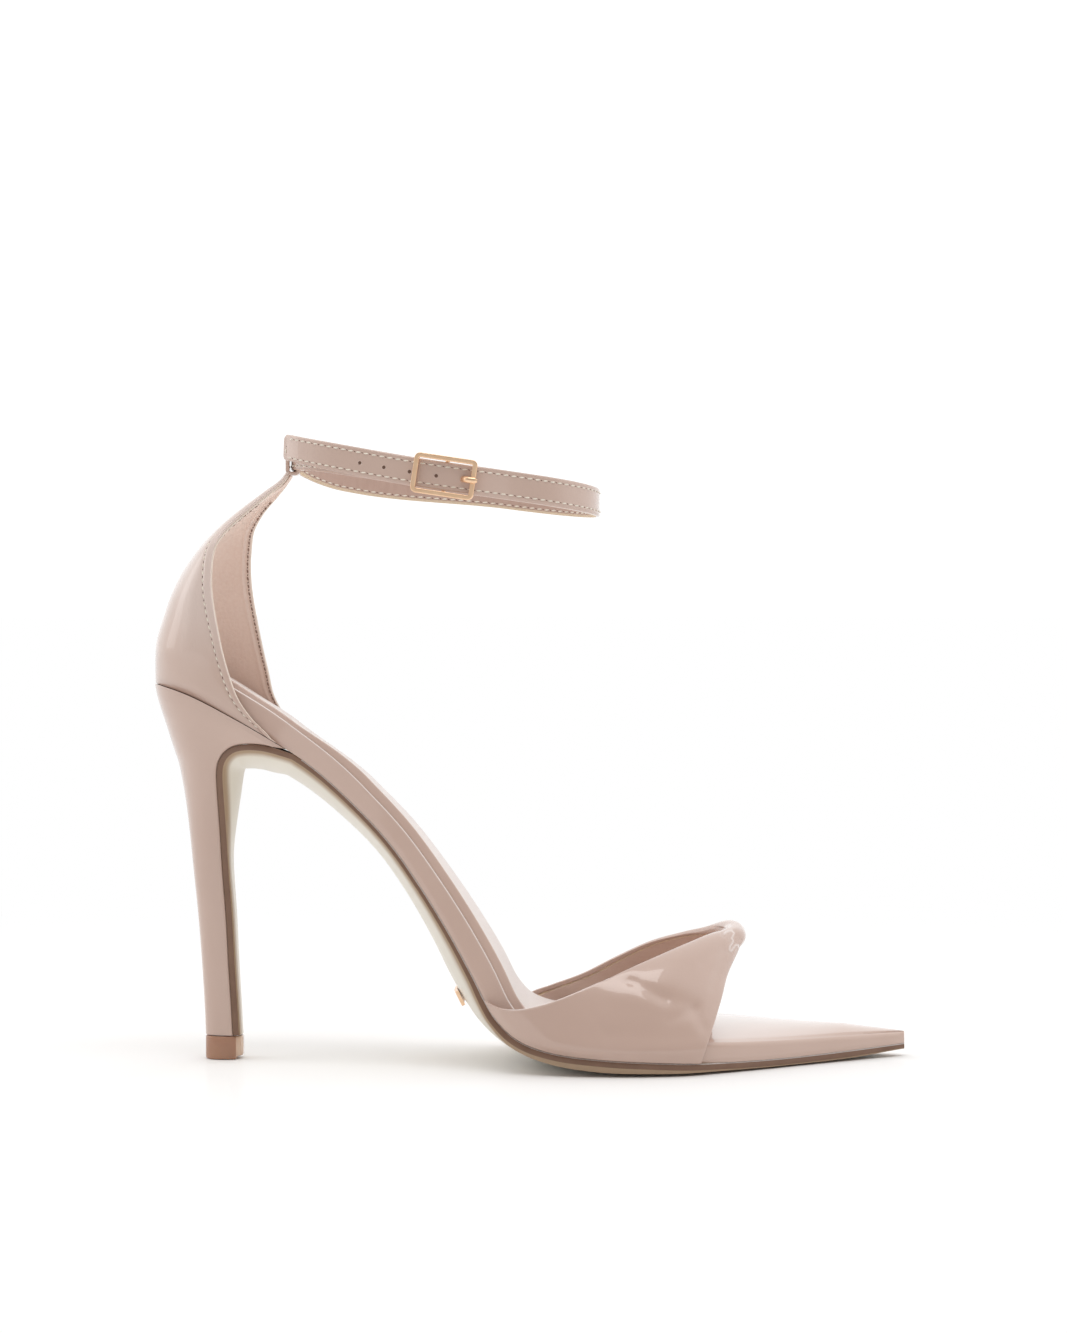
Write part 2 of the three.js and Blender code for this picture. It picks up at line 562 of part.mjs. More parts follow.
function counterWall() {
  const columns = 17;
  const levels = 24;
  const surface = (level, column) => {
    const place = ((counterRows.length - 1) * level) / levels;
    const share = (2 * column) / (columns - 1) - 1;
    const point = counterPoint(readRow(counterRows, place), share);
    const foot = seamAt(point.x, point.y) + 2 * fitGap;
    point.z = level === 0 ? foot : Math.max(point.z, foot + level);
    return point;
  };
  const rings = [];
  for (let level = 0; level <= levels; level += 1) {
    const outer = [];
    const inner = [];
    for (let column = 0; column < columns; column += 1) {
      const point = surface(level, column);
      const up = surface(Math.min(level + 1, levels), column).sub(surface(Math.max(level - 1, 0), column));
      const round = surface(level, Math.min(column + 1, columns - 1));
      round.sub(surface(level, Math.max(column - 1, 0)));
      const inward = up.cross(round).normalize();
      if (level === 0) inward.setZ(0).normalize();
      outer.push(point);
      inner.push(point.clone().addScaledVector(inward, -upperWall));
    }
    rings.push([...outer, ...inner.reverse()]);
  }
  return loft(rings);
}

function roundedRectangle(path, x0, y0, x1, y1, r) {
  path.moveTo(x0 + r, y0);
  path.lineTo(x1 - r, y0);
  path.absarc(x1 - r, y0 + r, r, -Math.PI / 2, 0, false);
  path.lineTo(x1, y1 - r);
  path.absarc(x1 - r, y1 - r, r, 0, Math.PI / 2, false);
  path.lineTo(x0 + r, y1);
  path.absarc(x0 + r, y1 - r, r, Math.PI / 2, Math.PI, false);
  path.lineTo(x0, y0 + r);
  path.absarc(x0 + r, y0 + r, r, Math.PI, 1.5 * Math.PI, false);
  return path;
}

const halfStrap = strapWidth / 2;
const ankleCentre = counterLean + loopWall - 0.9 + fitGap + strapThickness / 2 + ankleLength / 2;
const loopMiddle = ankleHeight + (anklePitch * ankleLength) / 2;

function strapLoop() {
  const outerX = ankleCentre - ankleLength / 2 - strapThickness / 2 - fitGap - loopWall;
  const high = loopMiddle + halfStrap + 2 * fitGap;
  const low = loopMiddle - halfStrap - 2 * fitGap;
  const shape = new THREE.Shape();
  const full = loopDepth + 2 * loopWall;
  roundedRectangle(shape, outerX, low - loopWall, outerX + full, high + loopWall, loopWall);
  const hole = new THREE.Path();
  roundedRectangle(hole, outerX + loopWall, low, outerX + loopWall + loopDepth, high, loopWall * 0.4);
  shape.holes.push(hole);
  const geometry = new THREE.ExtrudeGeometry(shape, { depth: loopWidth, bevelEnabled: false, curveSegments: 3 });
  geometry.rotateX(Math.PI / 2);
  geometry.translate(0, loopWidth / 2 + seatAxis(counterLean) * 0.17, 0);
  return geometry;
}

function counter() {
  return toGeometry(toSolid(counterWall()).add(toSolid(strapLoop())));
}

// Vamp: one wall from base to base whose section gathers and twists at the knot
const vampColumns = 12;
const baseX = (row, share) => shoeLength * THREE.MathUtils.lerp(row.rx, row.fx, share);
function vampBasePoint(row, side, share) {
  const x = baseX(row, share);
  const y = side * footbedEdge(x, side, fitGap + upperWall / 2);
  return onSeam(x, y, 3 * fitGap);
}

const filledRows = vampRows.map((row) => {
  if (row.base === undefined) return row;
  const rear = vampBasePoint(row, row.base, 0);
  const front = vampBasePoint(row, row.base, 1);
  const { base, ...kept } = row;
  return {
    ...kept,
    ry: rear.y / ballWidth,
    rz: rear.z / vampHeight,
    fy: front.y / ballWidth,
    fz: front.z / vampHeight,
  };
});
const edgePoint = (row, end) => new THREE.Vector3(
  row[`${end}x`] * shoeLength, row[`${end}y`] * ballWidth, row[`${end}z`] * vampHeight,
);

// How far the base row lies from the straight line between its ends
function baseSag(side, share) {
  const row = side < 0 ? vampRows[0] : vampRows[vampRows.length - 1];
  const rear = vampBasePoint(row, side, 0);
  const front = vampBasePoint(row, side, 1);
  return vampBasePoint(row, side, share).sub(rear.lerp(front, share));
}

function vamp() {
  const steps = 46;
  const lastRow = filledRows.length - 1;
  const middleOf = (row) => edgePoint(row, 'r').add(edgePoint(row, 'f')).multiplyScalar(0.5);
  const rings = [];
  for (let k = 0; k <= steps; k += 1) {
    const place = (lastRow * k) / steps;
    const row = readRow(filledRows, place);
    const before = readRow(filledRows, Math.max(place - 0.3, 0));
    const after = readRow(filledRows, Math.min(place + 0.3, lastRow));
    const rear = edgePoint(row, 'r');
    const front = edgePoint(row, 'f');
    const across = front.clone().sub(rear);
    const width = across.length();
    across.normalize();
    const along = middleOf(after).sub(middleOf(before));
    const side = place < lastRow / 2 ? -1 : 1;
    const cling = Math.max(row.cling, 0);
    const sideways = new THREE.Vector3(0, side, 0);
    const outward = across.clone().cross(along).normalize().lerp(sideways, cling).normalize();
    const wall = THREE.MathUtils.lerp(upperWall, knotThickness, row.wall);
    const twist = THREE.MathUtils.degToRad(row.twist);
    const middle = middleOf(row);
    const face = (sign) => (unused, j) => {
      const angle = (Math.PI * j) / (vampColumns - 1);
      const a = -0.5 * Math.cos(angle) * width;
      const fullness = Math.sin(angle) ** THREE.MathUtils.lerp(0.3, 0.9, THREE.MathUtils.clamp(row.wall, 0, 1));
      const b = sign * 0.5 * wall * Math.max(fullness, 0.3);
      const wide = a * Math.cos(twist) - b * Math.sin(twist);
      const deep = a * Math.sin(twist) + b * Math.cos(twist);
      const share = THREE.MathUtils.clamp(0.5 + wide / width, 0, 1);
      const rise = row.crown * 4 * share * (1 - share) + deep;
      const point = middle.clone().addScaledVector(across, wide).addScaledVector(outward, rise);
      return point.addScaledVector(baseSag(side, share), cling);
    };
    const columns = Array.from({ length: vampColumns });
    rings.push([...columns.map(face(1)), ...columns.map(face(-1)).reverse()]);
  }
  return loft(rings);
}

// Middle line of the ankle strap: an egg in plan, pitched and canted, with the free end outside
const secondTurn = 360;
const tipAngle = buckleAngle + secondTurn + freeEnd;
function strapPoint(degrees) {
  const angle = THREE.MathUtils.degToRad(degrees);
  const x = ankleCentre + (ankleLength / 2) * Math.cos(angle);
  const y = -(ankleBreadth / 2) * Math.sin(angle) * (1 + ankleEgg * Math.cos(angle));
  const z = ankleHeight - anklePitch * (x - ankleCentre) + ankleCant * Math.sin(angle);
  const free = THREE.MathUtils.clamp((degrees - buckleAngle - secondTurn) / freeEnd, 0, 1);
  return new THREE.Vector3(x, y, z + freeEndLift * free ** 2);
}

function strapFrame(degrees) {
  const point = strapPoint(degrees);
  const along = strapPoint(degrees + 0.5).sub(strapPoint(degrees - 0.5)).normalize();
  const up = new THREE.Vector3(0, 0, 1);
  up.addScaledVector(along, -up.dot(along)).normalize();
  const out = up.clone().cross(along).normalize();
  const rising = THREE.MathUtils.smoothstep(degrees, buckleAngle + secondTurn - 30, buckleAngle + secondTurn - 6);
  const free = THREE.MathUtils.clamp((degrees - buckleAngle - secondTurn) / freeEnd, 0, 1);
  const layer = strapThickness + 2 * fitGap;
  point.addScaledVector(out, layer * rising + freeEndFlare * free ** 2);
  return { point, along, up, out };
}

function ankleStrap() {
  const start = buckleAngle + 2.6;
  const steps = 92;
  const wide = halfStrap;
  const thick = strapThickness / 2;
  const corner = strapCorner;
  const rings = [];
  for (let k = 0; k <= steps; k += 1) {
    const degrees = THREE.MathUtils.lerp(start, tipAngle, k / steps);
    const frame = strapFrame(degrees);
    const left = THREE.MathUtils.clamp((tipAngle - degrees) / 5, 0, 1);
    const narrow = Math.sqrt(1 - (1 - left) ** 2) * 0.75 + 0.25;
    const profile = [
      [-wide * narrow, thick - corner],
      [-wide * narrow + corner, thick],
      [wide * narrow - corner, thick],
      [wide * narrow, thick - corner],
      [wide * narrow, corner - thick],
      [wide * narrow - corner, -thick],
      [-wide * narrow + corner, -thick],
      [-wide * narrow, corner - thick],
    ];
    rings.push(profile.map(([high, deep]) => (
      frame.point.clone().addScaledVector(frame.up, high).addScaledVector(frame.out, deep)
    )));
  }
  const hole = new THREE.CylinderGeometry(prongHole, prongHole, 3 * strapThickness, 12);
  const place = strapFrame(holeAngle);
  hole.applyMatrix4(new THREE.Matrix4().makeBasis(place.along, place.out, place.up));
  hole.translate(place.point.x, place.point.y, place.point.z - buckleDrop);
  return toGeometry(toSolid(loft(rings)).subtract(toSolid(hole)));
}

// Buckle: placed on the strap, x forward along the strap, y up across it, z outwards
const buckleFrame = strapFrame(buckleAngle + secondTurn);
const buckleSeat = strapPoint(buckleAngle + secondTurn);
buckleSeat.z -= buckleDrop;
const buckleForward = buckleFrame.along.clone().negate();
const buckleTurn = new THREE.Matrix4().makeBasis(buckleForward, buckleFrame.up, buckleFrame.out);
const onStrap = (geometry) => {
  geometry.applyMatrix4(buckleTurn);
  geometry.translate(buckleSeat.x, buckleSeat.y, buckleSeat.z);
  return geometry;
};
const layerRise = strapThickness + 2 * fitGap;
const frameBack = layerRise + strapThickness / 2 + fitGap;
const strapRadius = ankleLength / 2;
const holeAngle = buckleAngle + secondTurn - THREE.MathUtils.radToDeg(prongHolePlace / strapRadius);

function buckle() {
  const halfLength = buckleLength / 2;
  const halfWidth = buckleWidth / 2;
  const shape = new THREE.Shape();
  roundedRectangle(shape, -halfLength, -halfWidth, halfLength, halfWidth, buckleCorner);
  const window = new THREE.Path();
  const inner = buckleCorner - buckleBar * 0.8;
  roundedRectangle(
    window, -halfLength + buckleBar, -halfWidth + buckleBar, halfLength - buckleBar, halfWidth - buckleBar, inner,
  );
  shape.holes.push(window);
  const bevel = 0.25;
  const frame = new THREE.ExtrudeGeometry(shape, {
    depth: buckleBar - 2 * bevel,
    bevelEnabled: true,
    bevelThickness: bevel,
    bevelSize: bevel,
    bevelOffset: -bevel,
    bevelSegments: 1,
    curveSegments: 4,
  });
  frame.translate(0, 0, frameBack + bevel);
  const radius = barDiameter / 2;
  const bar = new THREE.CylinderGeometry(radius, radius, buckleWidth - 0.4, 12);
  let solid = toSolid(frame).add(toSolid(bar));
  const postHeight = frameBack + buckleBar / 2 + radius;
  for (const side of [-1, 1]) {
    const post = new THREE.BoxGeometry(barDiameter, barDiameter * 0.85, postHeight);
    post.translate(0, side * (halfWidth - buckleBar * 0.5), postHeight / 2 - radius);
    solid = solid.add(toSolid(post));
  }
  return onStrap(toGeometry(solid));
}

function prong() {
  const reach = buckleLength / 2 + 0.5;
  const overBar = frameBack + buckleBar + prongDiameter / 2 + fitGap;
  const route = [
    [barDiameter / 2 + fitGap + prongDiameter * 0.3, 0],
    [prongHolePlace * 0.75, 0.1],
    [prongHolePlace * 0.97, layerRise * 0.45],
    [prongHolePlace, layerRise],
    [prongHolePlace * 1.05, layerRise * 1.5],
    [prongHolePlace * 1.25, overBar - 0.6],
    [reach, overBar],
  ];
  const curve = new THREE.CatmullRomCurve3(route.map(([x, z]) => new THREE.Vector3(x, 0, z)));
  const sides = 8;
  const steps = 12;
  const rings = [];
  for (let k = 0; k <= steps; k += 1) {
    const centre = curve.getPoint(k / steps);
    const along = curve.getTangent(k / steps);
    const lift = new THREE.Vector3(-along.z, 0, along.x);
    const taper = k === steps ? 0.55 : 1;
    const ring = [];
    for (let i = 0; i < sides; i += 1) {
      const angle = (2 * Math.PI * (i + 0.5)) / sides;
      const radius = (prongDiameter / 2) * taper;
      const point = centre.clone().addScaledVector(lift, radius * Math.cos(angle));
      ring.push(point.add(new THREE.Vector3(0, radius * Math.sin(angle), 0)));
    }
    rings.push(ring);
  }
  return onStrap(loft(rings));
}

const finish = (color, roughness, metalness) => new THREE.MeshStandardMaterial({ color, roughness, metalness });
const patent = finish(0xc7afa2, 0.12, 0);
const satin = finish(0xe4d6d0, 0.55, 0);
const cream = finish(0xe2dcce, 0.4, 0);
const rubber = finish(0x9e7a5e, 0.5, 0);
const gold = finish(0xe8c8a0, 0.22, 1);

const shoe = new THREE.Group();
function addPiece(name, geometry, material) {
  const mesh = new THREE.Mesh(geometry, material);
  mesh.name = name;
  shoe.add(mesh);
}

addPiece('outsole', outsole(), cream);
addPiece('heel', heel(), patent);
addPiece('top_lift', topLift(), rubber);
addPiece('footbed', footbed(), patent);
addPiece('sock', sock(), satin);
addPiece('vamp', vamp(), patent);
addPiece('counter', counter(), patent);
addPiece('ankle_strap', ankleStrap(), patent);
addPiece('buckle_frame', buckle(), gold);
addPiece('buckle_prong', prong(), gold);
addPiece('sole_plate', solePlate(), gold);

// The origin is the middle of the shoe's box, on the floor
const box = new THREE.Box3().setFromObject(shoe);
const centre = box.getCenter(new THREE.Vector3());
shoe.position.set(-centre.x, -centre.y, 0);
shoe.updateMatrixWorld(true);

export default shoe;
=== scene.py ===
# %% [markdown]
# # Dressing a high heel sandal
# The CAD model holds the shoe's solids at their real size. This lesson puts a finished surface over
# each of them: patent leather, a satin sock, a painted sole edge, thread and plated metal.
# Every surface is worked out with numpy from the same sizes as the solids. Where the leather of the
# real shoe sags, puckers or is pressed, a few values more say where and by how much.

import bpy
import numpy as np
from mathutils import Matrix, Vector


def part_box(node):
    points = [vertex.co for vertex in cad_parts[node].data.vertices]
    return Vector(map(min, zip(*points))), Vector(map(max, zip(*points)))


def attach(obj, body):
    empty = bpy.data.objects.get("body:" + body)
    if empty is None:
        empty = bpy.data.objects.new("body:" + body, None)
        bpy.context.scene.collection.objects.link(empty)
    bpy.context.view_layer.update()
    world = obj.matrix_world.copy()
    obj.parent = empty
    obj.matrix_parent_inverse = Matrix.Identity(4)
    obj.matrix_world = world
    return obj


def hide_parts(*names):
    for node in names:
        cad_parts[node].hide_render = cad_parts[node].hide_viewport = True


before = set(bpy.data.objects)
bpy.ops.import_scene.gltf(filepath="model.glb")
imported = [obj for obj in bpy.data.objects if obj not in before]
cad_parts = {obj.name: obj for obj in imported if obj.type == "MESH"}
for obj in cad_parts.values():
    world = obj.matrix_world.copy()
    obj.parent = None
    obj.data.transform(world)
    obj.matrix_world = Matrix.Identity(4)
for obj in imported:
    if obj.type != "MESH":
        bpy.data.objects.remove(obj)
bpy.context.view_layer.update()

# %% [markdown]
# ## Sizes
# A shoe is drawn in millimetres from the back of the heel: x to the toe, y to the inner side of the
# foot, z up. Tables hold the curves that a pattern maker would draw by hand, as shares of a few sizes.

# %% Sizes of the shoe, in millimetres
shoe_length = 221.0
seat_height = 111.8  # floor to the seam at the back of the heel seat
ball_width = 75.6
seat_half = 22.0
seat_depth = 35.0
fit_gap = 0.3
wall = 1.8  # leather and lining of the upper
seat_back = fit_gap + wall
breast_x = seat_back + seat_depth
turn_slope = np.tan(np.radians(3.5))  # the heel's axis turns outwards
seat_square = 2.4
outer_half = seat_half + seat_back


# %% Tables with named columns
def table(names, rows):
    """One array for each named column."""
    return dict(zip(names.split(), np.array(rows, float).T))


# Side view of the seam between footbed and outsole, with what follows it
seam_rows = table("x z rim roll edge belly", [
    (0.0, 1.0, 1.0, 3.6, 1.0, 1.0),
    (0.054, 0.962, 1.0, 3.6, 1.0, 1.0),
    (0.109, 0.907, 1.0, 3.6, 1.0, 1.0),
    (0.163, 0.846, 0.93, 3.4, 1.0, 1.0),
    (0.217, 0.775, 0.8, 4.0, 0.85, 0.86),
    (0.271, 0.678, 0.73, 3.5, 0.75, 0.75),
    (0.317, 0.58, 0.72, 2.8, 0.75, 0.7),
    (0.357, 0.469, 0.74, 2.0, 0.75, 0.74),
    (0.394, 0.352, 0.77, 1.2, 0.8, 0.86),
    (0.425, 0.242, 0.79, 0.4, 0.9, 0.96),
    (0.45, 0.15, 0.76, 0.0, 1.15, 0.7),
    (0.48, 0.091, 0.72, 0.0, 1.35, 0.42),
    (0.525, 0.059, 0.65, 0.0, 1.6, 0.3),
    (0.588, 0.044, 0.6, 0.0, 1.8, 0.25),
    (0.661, 0.036, 0.56, -0.2, 1.6, 0.2),
    (0.738, 0.0286, 0.53, -0.5, 1.25, 0.2),
    (0.837, 0.0242, 0.47, -0.7, 1.1, 0.2),
    (0.928, 0.0277, 0.39, 0.0, 1.1, 0.1),
    (1.0, 0.034, 0.3, 0.0, 0.75, 0.05),
])

# Plan outline ahead of the heel breast, as shares of the ball width
outline_rows = table("x lateral medial", [
    (breast_x / shoe_length, (seat_half + turn_slope * breast_x) / ball_width,
     (seat_half - turn_slope * breast_x) / ball_width),
    (0.249, 0.315, 0.251),
    (0.317, 0.324, 0.247),
    (0.385, 0.361, 0.255),
    (0.43, 0.406, 0.274),
    (0.475, 0.463, 0.307),
    (0.52, 0.513, 0.351),
    (0.566, 0.542, 0.394),
    (0.611, 0.556, 0.427),
    (0.656, 0.552, 0.444),
    (0.701, 0.526, 0.442),
    (0.747, 0.47, 0.418),
    (0.792, 0.384, 0.376),
    (0.837, 0.288, 0.317),
    (0.882, 0.193, 0.254),
    (0.928, 0.101, 0.185),
    (0.964, 0.029, 0.13),
    (0.986, -0.011, 0.095),
    (1.0, -0.04, 0.066),
])

# Heel sections from the seat down to the top lift
heel_rows = table("x front_x front_z back_x back_z half roll square", [
    (0, 0.985, 0.829, 0.008, 0.988, 1.0, 1.0, 2.4),
    (1, 0.889, 0.835, 0.027, 0.955, 0.955, 0.9, 2.38),
    (2, 0.768, 0.836, 0.059, 0.917, 0.885, 0.75, 2.35),
    (3, 0.66, 0.829, 0.092, 0.883, 0.81, 0.6, 2.3),
    (4, 0.582, 0.811, 0.124, 0.848, 0.74, 0.4, 2.26),
    (5, 0.536, 0.785, 0.156, 0.814, 0.675, 0.2, 2.22),
    (6, 0.52, 0.751, 0.194, 0.774, 0.607, 0.0, 2.2),
    (7, 0.523, 0.693, 0.237, 0.697, 0.5, 0.0, 2.2),
    (8, 0.536, 0.603, 0.27, 0.609, 0.39, 0.0, 2.2),
    (9, 0.55, 0.496, 0.305, 0.491, 0.308, 0.0, 2.2),
    (10, 0.574, 0.379, 0.34, 0.374, 0.262, 0.0, 2.2),
    (11, 0.593, 0.25, 0.367, 0.256, 0.237, 0.0, 2.2),
    (12, 0.612, 0.143, 0.386, 0.152, 0.22, 0.0, 2.2),
    (13, 0.624, 0.0635, 0.398, 0.0635, 0.208, 0.0, 2.2),
])


# %% Reading the tables
def read(rows, column, x):
    """Cubic piece between two rows: value(a)*(2t^3-3t^2+1) + value(b)*(3t^2-2t^3) plus the slopes
    at both ends, each the slope between the neighbours on either side."""
    xs, ys = rows["x"], rows[column]
    last = len(xs) - 1
    x = np.asarray(x, float)
    i = np.searchsorted(xs[1:-1], x, side="left")
    before, after = np.maximum(i - 1, 0), np.minimum(i + 2, last)
    width = xs[i + 1] - xs[i]
    t = np.clip((x - xs[i]) / width, 0, 1)
    rise_in = (ys[i + 1] - ys[before]) / (xs[i + 1] - xs[before]) * width
    rise_out = (ys[after] - ys[i]) / (xs[after] - xs[i]) * width
    blend = t * t * (3 - 2 * t)
    bump_in, bump_out = t * (1 - t) ** 2, -t * t * (1 - t)
    return ys[i] * (1 - blend) + ys[i + 1] * blend + rise_in * bump_in + rise_out * bump_out


def ease(x, low, high):
    """0 below low, 1 above high and 3t^2-2t^3 between."""
    t = np.clip((np.asarray(x, float) - low) / (high - low), 0, 1)
    return t * t * (3 - 2 * t)


def mix(a, b, t):
    return a + (b - a) * t


# %% The sole's own curves
def seam(column, x):
    return read(seam_rows, column, np.asarray(x, float) / shoe_length)


def seat_axis(x):
    return -turn_slope * np.asarray(x, float)


def edge_at(x, side, outset=0.0):
    """Distance from the X axis to the footbed's edge. Behind the breast it is a superellipse,
    half * (1 - share^n)^(1/n); ahead of it the plan table."""
    x = np.asarray(x, float)
    share = np.clip((breast_x - x) / (seat_depth + outset), 0, 1)
    seat = side * seat_axis(x) + (seat_half + outset) * (1 - share**seat_square) ** (1 / seat_square)
    column = "lateral" if side < 0 else "medial"
    ahead = ball_width * read(outline_rows, column, x / shoe_length) + outset
    return np.where(x < breast_x, seat, ahead)


def seam_at(x, y):
    """Height of the seam: the side view's height, less the slope of the roll across the sole."""
    outer = np.where(x < breast_x, seat_half - seat_axis(x), edge_at(x, -1))
    return seat_height * seam("z", x) - np.tan(np.radians(seam("roll", x))) * (y + outer)


def seam_normal(x):
    """Square to the seam in side view, and upright over the heel seat."""
    fall = seat_height * (seam("z", x + 0.5) - seam("z", x - 0.5))
    angle = np.arctan(fall) * ease(x, 0, breast_x)
    return np.stack([-np.sin(angle), 0 * angle, np.cos(angle)], -1)


def on_seam(x, y, rise):
    """A point y across the sole and rise square to the seam."""
    x, y, rise = np.broadcast_arrays(np.asarray(x, float), y, rise)
    base = np.stack([x, y, seam_at(x, y)], -1)
    return base + seam_normal(x) * rise[..., None]


# %% From the drawing to the row frame
lift_low, lift_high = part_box("top_lift")
lift_axis = seat_axis(0.624 * breast_x) * (0.4 + 0.6 * 0.208)
middle = np.array([
    shoe_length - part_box("footbed")[1].x * 1000,
    lift_axis - (lift_low.y + lift_high.y) * 500,
    0.0,
])
print("Middle of the shoe in the drawing, mm:", middle.round(3))


def in_metres(points):
    """Drawing millimetres to the row frame: (point - middle) / 1000."""
    return (np.asarray(points, float) - middle) / 1000


# %% [markdown]
# ## From a grid of points to a mesh
# Each surface is a grid: rows along the piece and columns round it. Quads join the neighbours, and
# a ladder of quads closes each end, because column i always lies across from column n-1-i.
# The quads are turned round if the volume that they enclose comes out negative.

# %% Mesh helpers
def face_outwards(points, quads):
    """Volume = sum of a.(b x c) over both triangles of each quad; a negative one is turned round."""
    a, b, c, d = (points[quads[:, k]] for k in range(4))
    volume = np.einsum("ij,ij->", a, np.cross(b, c)) + np.einsum("ij,ij->", a, np.cross(c, d))
    return quads[:, ::-1] if volume < 0 else quads


def new_piece(name, points, quads, materials, picks=None, stands_for=(), slot="patent", sharp=40,
              stain=None):
    """A mesh object at the origin, smooth but for edges sharper than the given angle."""
    mesh = bpy.data.meshes.new(name)
    mesh.from_pydata(in_metres(points), [], quads.tolist())
    for material in materials:
        mesh.materials.append(material)
    if picks is not None:
        mesh.polygons.foreach_set("material_index", np.asarray(picks, np.int32))
    mesh.shade_smooth()
    mesh.set_sharp_from_angle(angle=np.radians(sharp))
    # Point attribute of painted light: 1 where the material mixes in its colour of painted highlight or
    # painted shade
    if stain is not None:
        layer = mesh.attributes.new("stain", "FLOAT", "POINT")
        layer.data.foreach_set("value", stain.ravel().astype(np.float32))
    mesh.update()
    piece = bpy.data.objects.new(name, mesh)
    bpy.context.scene.collection.objects.link(piece)
    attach(piece, "root")
    if stands_for:
        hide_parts(*stands_for)
    print(f"{name}: {len(points)} points, {len(quads)} faces")
    return piece


def round_quads(rows, columns, ring=False):
    """Quads over a grid that closes round its columns. ring joins the last row to the first,
    otherwise a ladder closes each end."""
    index = np.arange(rows * columns).reshape(rows, columns)
    here = index if ring else index[:-1]
    there = np.roll(index, -1, 0) if ring else index[1:]
    quads = np.stack([here, np.roll(here, -1, 1), np.roll(there, -1, 1), there], -1).reshape(-1, 4)
    if ring:
        return quads
    i = np.arange(columns // 2 - 1)
    rung = np.stack([i, i + 1, columns - 2 - i, columns - 1 - i], -1)
    return np.concatenate([quads, rung[:, ::-1], rung + index[-1, 0]])


def grid_piece(name, grid, materials, pick=None, ring=False, **kept):
    """A piece from a grid that closes round its columns; pick gives the material of each column."""
    rows, columns = grid.shape[:2]
    quads = round_quads(rows, columns, ring)
    picks = np.zeros(len(quads), int)
    if pick is not None:
        bands = rows if ring else rows - 1
        picks[:bands * columns] = np.broadcast_to(pick, (bands, columns)).ravel()
    points = grid.reshape(-1, 3)
    return new_piece(name, points, face_outwards(points, quads), materials, picks, **kept)


def smooth_rows(grid, count):
    """Rows resampled along the piece by cubic pieces through the given rows, evenly by length."""
    step = np.linalg.norm(np.diff(grid.mean(1), axis=0), axis=1)
    at = np.concatenate([[0], np.cumsum(step)])
    wanted = np.linspace(0, at[-1], count)
    i = np.clip(np.searchsorted(at, wanted, side="right") - 1, 0, len(at) - 2)
    before, after = np.maximum(i - 1, 0), np.minimum(i + 2, len(at) - 1)
    width = at[i + 1] - at[i]
    t = ((wanted - at[i]) / width)[:, None, None]
    rise_in = (grid[i + 1] - grid[before]) * (width / (at[i + 1] - at[before]))[:, None, None]
    rise_out = (grid[after] - grid[i]) * (width / (at[after] - at[i]))[:, None, None]
    blend = t * t * (3 - 2 * t)
    bump_in, bump_out = t * (1 - t) ** 2, -t * t * (1 - t)
    return grid[i] * (1 - blend) + grid[i + 1] * blend + rise_in * bump_in + rise_out * bump_out


def even_columns(grid, fractions):
    """Each row resampled at the given shares of its own length."""
    step = np.linalg.norm(np.diff(grid, axis=1), axis=2)
    at = np.concatenate([np.zeros((len(grid), 1)), np.cumsum(step, 1)], 1)
    out = np.empty((len(grid), len(fractions), 3))
    for row, length in enumerate(at):
        for axis in range(3):
            out[row, :, axis] = np.interp(fractions * length[-1], length, grid[row, :, axis])
    return out, at[:, -1]


def unit(vectors):
    """Vectors of length 1."""
    return vectors / np.maximum(np.linalg.norm(vectors, axis=-1, keepdims=True), 1e-12)


# %% [markdown]
# ## Materials
# Patent leather is split leather under a poured polyurethane film. The film is nearly flat, so it
# mirrors the studio, while the leather under it swells gently and bends the reflections.

# %% Colour and node helpers
def colour(text):
    """sRGB hex to linear: c/12.92 in the toe, ((c+0.055)/1.055)^2.4 above it."""
    channels = np.array([int(text[k:k + 2], 16) for k in (1, 3, 5)]) / 255
    linear = np.where(channels < 0.04045, channels / 12.92, ((channels + 0.055) / 1.055) ** 2.4)
    return (*linear, 1.0)


def add_node(tree, kind, links=(), **settings):
    """Adds a node, sets its sockets by name and its properties, and makes its links."""
    node = tree.nodes.new(kind)
    for key, value in settings.items():
        socket = key.replace("_", " ")
        if socket in node.inputs:
            node.inputs[socket].default_value = value
        else:
            setattr(node, key, value)
    for source, target in links:
        tree.links.new(source, node.inputs[target])
    return node


